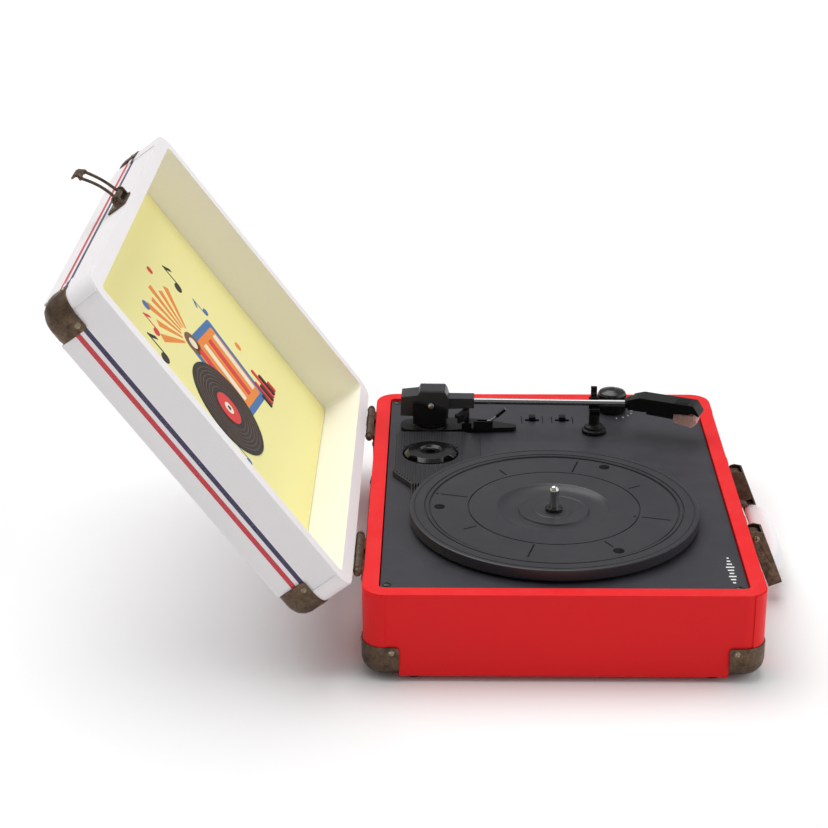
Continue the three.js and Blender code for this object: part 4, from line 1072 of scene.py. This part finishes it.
def lidShape():
    # white outside and cream inside
    shape = cadShape("lid_shell")
    back = lidPlace.inverted()
    for face in shape.faces:
        middle = back @ face.calc_center_median()
        facing = back.to_3x3() @ face.normal
        inside = abs(middle.x) < lining["wallX"] + 0.4 and abs(middle.y - lidFrame["middle"]) < lining["wallY"] + 0.4
        rim = middle.z < lidFrame["rim"] + 0.3 and facing.z < -0.9
        face.material_index = 1 if inside and not rim and middle.z < lidFrame["top"] - 3 else 0
    return shape


finishPiece("lid_case", lidShape(), [whiteCover, creamLining], "lid", ["lid_shell"], 1.1, 3)
shape = bmesh.new()
lapSheets(shape, lidFrame["rim"] + 0.9, 28.0, lidFrame["middle"])
finishPiece("lid_cover_laps", inLid(shape), [whiteCover], "lid")
reshaped("lid_panel", "lid_liner", yellowPaper, 0.2)

# printed motif: a record in its sleeve with rays, notes and bars, in thin layers on the panel
inks = {"black": (0.012, 0.011, 0.013), "red": (0.72, 0.035, 0.04), "orange": (0.86, 0.26, 0.035),
        "blue": (0.05, 0.17, 0.42), "brown": (0.20, 0.085, 0.04), "cream": (0.88, 0.82, 0.62)}
inkLooks = {label: inkLook("print_" + label, colour) for label, colour in inks.items()}
motif = {"record": (-22.0, 112.0, 40.0), "sleeve": (34.0, 122.0, 74.0, 74.0)}


def layer(shape, outline, level):
    # level 0 lies on the panel, and each further level on the one below
    prism(shape, [(x, -u) for x, u in outline], lidSurface - 0.14 * (level + 1), lidSurface + 0.05)


def note(x, u, size, flip=1):
    head = disc(x, u, size * 0.34, 24, 0.78)
    stem = [(x + flip * size * 0.24, u), (x + flip * size * 0.34, u), (x + flip * size * 0.34, u + size * 1.25),
            (x + flip * size * 0.24, u + size * 1.25)]
    tail = [(x + flip * size * 0.30, u + size * 1.25), (x + flip * size * 0.80, u + size * 0.82),
            (x + flip * size * 0.78, u + size * 0.62), (x + flip * size * 0.30, u + size * 0.98)]
    return [head, stem, tail]


def ray(x, u, degrees, near, far, spreadDegrees):
    a, b = math.radians(degrees - spreadDegrees / 2), math.radians(degrees + spreadDegrees / 2)
    return [(x + near * math.cos(a), u + near * math.sin(a)), (x + far * math.cos(a), u + far * math.sin(a)),
            (x + far * math.cos(b), u + far * math.sin(b)), (x + near * math.cos(b), u + near * math.sin(b))]


def turnedBox(x, u, width, height, degrees, radius=3.0):
    angle = math.radians(degrees)
    return [(x + px * math.cos(angle) - pu * math.sin(angle), u + px * math.sin(angle) + pu * math.cos(angle))
            for px, pu in roundedOutline(width, height, radius, 0, 0, 5)]


def motifShapes():
    rx, ru, rr = motif["record"]
    sx, su, sw, sh = motif["sleeve"]
    yield "blue", turnedBox(sx, su, sw, sh, -9), 0
    yield "orange", turnedBox(sx, su, sw - 12, sh - 12, -9, 2.0), 1
    for i, across in enumerate((-24, -8, 8, 24)):
        yield ("red", "cream")[i % 2], turnedBox(sx + across * 0.988, su - across * 0.156, 8.0, sh - 24, -9, 1.5), 2
    yield "black", disc(rx, ru, rr, 72), 3
    yield "red", disc(rx, ru, rr * 0.34, 40), 6
    yield "cream", disc(rx, ru, rr * 0.13, 24), 7
    yield "black", disc(rx, ru, rr * 0.05, 16), 8
    for i in range(7):
        yield "orange", ray(12.0, 158.0, 48 + i * 17, 14.0, 52.0 - 6 * (i % 2), 8), 0
    yield "brown", disc(12.0, 158.0, 10.0, 36), 1
    yield "cream", disc(12.0, 158.0, 5.0, 28), 2
    for x, u, size, flip, ink in ((-56, 176, 17, 1, "black"), (-34, 190, 13, 1, "red"), (70, 186, 16, 1, "black"),
                                  (84, 156, 12, -1, "blue"), (-62, 82, 12, 1, "blue")):
        for outline in note(x, u, size, flip):
            yield ink, outline, 0
    for i, height in enumerate((12, 22, 16, 28, 20, 10)):
        yield ("black", "red")[i % 2], turnedBox(60 + 6.2 * i, 72 + height / 2, 4.0, height, 0, 1.2), 4
    for x, u, radius, ink in ((-70, 150, 3.6, "orange"), (-14, 206, 4.2, "blue"), (44, 214, 3.4, "red"),
                              (92, 118, 3.8, "orange")):
        yield ink, disc(x, u, radius, 24), 0


shapes = {label: bmesh.new() for label in inks}
for ink, outline, level in motifShapes():
    layer(shapes[ink], outline, level)
rx, ru, rr = motif["record"]
for radius in [rr * (0.46 + 0.085 * i) for i in range(6)]:
    ring = Matrix.Translation((rx, -ru, lidSurface)) @ Matrix.Rotation(math.pi, 4, "X")
    turn(shapes["brown"], [(radius, 0), (radius + 0.5, 0), (radius + 0.5, 0.66), (radius, 0.66), (radius, 0)], ring, 72)
for label, shape in shapes.items():
    finishPiece("panel_print_" + label, inLid(shape), [inkLooks[label]], "lid", (), 0, 0, 25)
print("lid done")


# ---- hinges, latch and handle

hinge = {"span": 116.0, "joints": (-25.0, -8.45, 8.45, 25.0)}
toSide = Matrix.Rotation(math.radians(90), 4, "Y")
acorn = [(0, -3.4), (1.5, -3.2), (2.4, -2.4), (2.7, -1.2), (2.5, -0.2), (1.8, 0.5), (1.7, 1.0), (2.6, 1.3), (3.2, 1.8),
         (3.2, 2.4), (2.0, 2.7), (0, 2.7)]
for label, side in sides.items():
    reshaped("hinge_base_" + label, "hinge_base_leaf_" + label, bronzePlate, 0.25)
    reshaped("hinge_lid_" + label, "hinge_lid_leaf_" + label, bronzePlate, 0.25)
    shape = bmesh.new()
    for end in (-1, 1):
        place = Matrix.Translation((side * hinge["span"] + end * 28.2, hingePoint.y, hingePoint.z)) @ toSide
        turn(shape, [(radius, -end * height) for radius, height in acorn], place, 28)
    finishPiece("hinge_finials_" + label, shape, [bronzePlate], "case", (), 0, 0, 28)
leafFace = case["halfY"] + 1.6
copiesOf("hinge_base_screws", onSpots, domeScrew(2.3, 1.0), bronzeScrew, "case", None,
         [spot((side * hinge["span"] + dx, leafFace, dz), (0, 1, 0))
          for side in (-1, 1) for dx, dz in ((-18, 50), (0, 44), (18, 50))])
copiesOf("hinge_lid_screws", onSpots, domeScrew(2.3, 1.0), bronzeScrew, "lid", None,
         [spot(lidPlace @ Vector((side * hinge["span"] + dx, -2.7, dz)), lidPlace.to_3x3() @ Vector((0, 1, 0)))
          for side in (-1, 1) for dx, dz in ((-18, 12), (0, 18), (18, 12))])
reshaped("latch_hook_plate", "latch_plate", bronzePlate, 0.3)
bail = {"rest": 22.0, "half": 7.4, "endHalf": 8.2, "thick": (2.3, 1.7), "length": 31.0, "bow": 1.5,
        "waist": 0.7, "armShare": 0.62, "endShare": 0.8, "endDepth": 3.2, "lipHalf": 7.4}
bailPlace = (Matrix.Translation(jointPlace("latch_bail_hinge"))
             @ Matrix.Rotation(math.pi - math.radians(bail["rest"]) - lidOpen, 4, "X"))


def strip(shape, path, wide, thick, across):
    # a bar of rounded section along a path, its wide side lying along across
    sections = []
    for i, point in enumerate(path):
        before, after = path[max(i - 1, 0)], path[min(i + 1, len(path) - 1)]
        ahead = (after - before).normalized()
        side = (across(i) - ahead * across(i).dot(ahead)).normalized()
        up = ahead.cross(side)
        sections.append([bailPlace @ (point + side * wide * math.cos(a) + up * thick * math.sin(a))
                         for a in [2 * math.pi * k / 20 for k in range(20)]])
    loft(shape, sections)


def bailArm(side):
    # from the barrel on the pin out along one side, bowed in the middle and drawn in before the pull end
    points = []
    for i in range(25):
        t = i / 24
        x = bail["half"] + (bail["endHalf"] - bail["half"]) * t - bail["waist"] * math.sin(t * math.pi)
        points.append(Vector((side * x, t * (bail["length"] - 3), bail["bow"] * math.sin(t * math.pi))))
    return points


shape = bmesh.new()
wide, thick = bail["thick"]
for side in (-1, 1):
    strip(shape, bailArm(side), wide * bail["armShare"], thick * bail["armShare"], lambda i: Vector((1, 0, 0)))
loopEnd = [Vector((bail["endHalf"] * math.cos(a), bail["length"] - 4 + bail["endDepth"] * math.sin(a), 0))
           for a in [math.pi * k / 24 for k in range(25)]]
strip(shape, loopEnd, wide * bail["endShare"], thick * bail["endShare"], lambda i: Vector((0, 0.3, 1)))
lip = [(27.4, 0.9), (30.2, 1.1), (32.4, 0.1), (33.6, -1.8), (33.7, -3.6), (32.9, -4.4), (32.0, -3.4), (31.4, -1.6),
       (29.6, -0.7), (27.4, -0.6)]
loft(shape, [[bailPlace @ Vector((x * bail["lipHalf"], y, z)) for y, z in lip] for x in [-1, -0.94, -0.5, 0, 0.5, 0.94, 1]])
turn(shape, [(0, -12.4), (1.2, -12.4), (1.2, -9.5), (2.2, -9.5), (2.2, 9.5), (1.2, 9.5), (1.2, 12.4), (0, 12.4)],
     bailPlace @ toSide, 32)
finishPiece("latch_loop", shape, [bronzePlate], "latch_bail", ["latch_bail"], 0, 0, 45)
reshaped("latch_keeper", "latch_catch", bronzePlate, 0.35)
copiesOf("latch_screws", onSpots, domeScrew(1.6, 0.8), bronzeScrew, "case", None,
         [spot((x, -case["halfY"] - 1.5, z), (0, -1, 0)) for x in (-6, 6) for z in (39, 51)])
copiesOf("latch_lid_screws", onSpots, domeScrew(1.6, 0.8), bronzeScrew, "lid", None,
         [spot(lidPlace @ Vector((x, -272.8, 12.6)), lidPlace.to_3x3() @ Vector((0, -1, 0))) for x in (-6, 6)])

handle = {"capInner": 45.0, "capWidth": 15.0, "hang": 22.0, "outer": -6.2, "inner": 3.4, "bulge": -13.6,
          "top": -22.8, "bottom": -40.8}
handlePlace = Matrix.Translation(jointPlace("handle_swing")) @ Matrix.Rotation(math.radians(-handle["hang"]), 4, "X")


def gripSections():
    # rounded sections along X: full in the middle, drawn in to the caps, with a short tenon inside each cap
    reach = handle["capInner"] - 0.2
    stations = [-reach - 11, -reach] + [-reach + reach * 2 * i / 40 for i in range(1, 40)] + [reach, reach + 11]
    sections = []
    for x in stations:
        share = max(0.0, min(1.0, (reach - abs(x)) / 20))
        full = math.sin(share * math.pi / 2) ** 0.8
        tenon = 1.4 if abs(x) > reach else 0.0
        outer = handle["outer"] + (handle["bulge"] - handle["outer"]) * full + tenon
        inner = handle["inner"] - tenon
        top = handle["top"] - 1.6 * (1 - full) - tenon
        bottom = handle["bottom"] + 2.6 * (1 - full) + tenon
        ring = []
        for i in range(48):
            angle = 2 * math.pi * i / 48
            c, r = math.cos(angle), math.sin(angle)
            across = math.copysign(abs(c) ** 0.62, c)
            along = math.copysign(abs(r) ** 0.62, r)
            ring.append(handlePlace @ Vector((x, (outer + inner) / 2 + (inner - outer) / 2 * across,
                                              (top + bottom) / 2 + (top - bottom) / 2 * along)))
        sections.append(ring)
    return sections


shape = bmesh.new()
loft(shape, gripSections())
finishPiece("carry_grip", shape, [whiteGrip], "handle", ["handle_grip"], 0, 0, 50)
for label, side in sides.items():
    reshaped("handle_mount_" + label, "handle_bracket_" + label, bronzePlate, 0.3)
    reshaped("handle_end_" + label, "handle_cap_" + label, bronzePlate, 0.5, 3)
outerX = handle["capInner"] + handle["capWidth"]
copiesOf("handle_rivets", onSpots, domeScrew(2.5, 1.0), bronzeScrew, "handle", None,
         [spot(handlePlace @ Vector((side * outerX, 0, 0)), (side, 0, 0)) for side in (-1, 1)])
copiesOf("handle_mount_screws", onSpots, domeScrew(1.7, 0.8), bronzeScrew, "case", None,
         [spot((side * (outerX - 7.5) + dx, -case["halfY"] - 1.5, 34.8), (0, -1, 0))
          for side in (-1, 1) for dx in (-3.6, 3.6)])
print("hinges, latch and handle done")
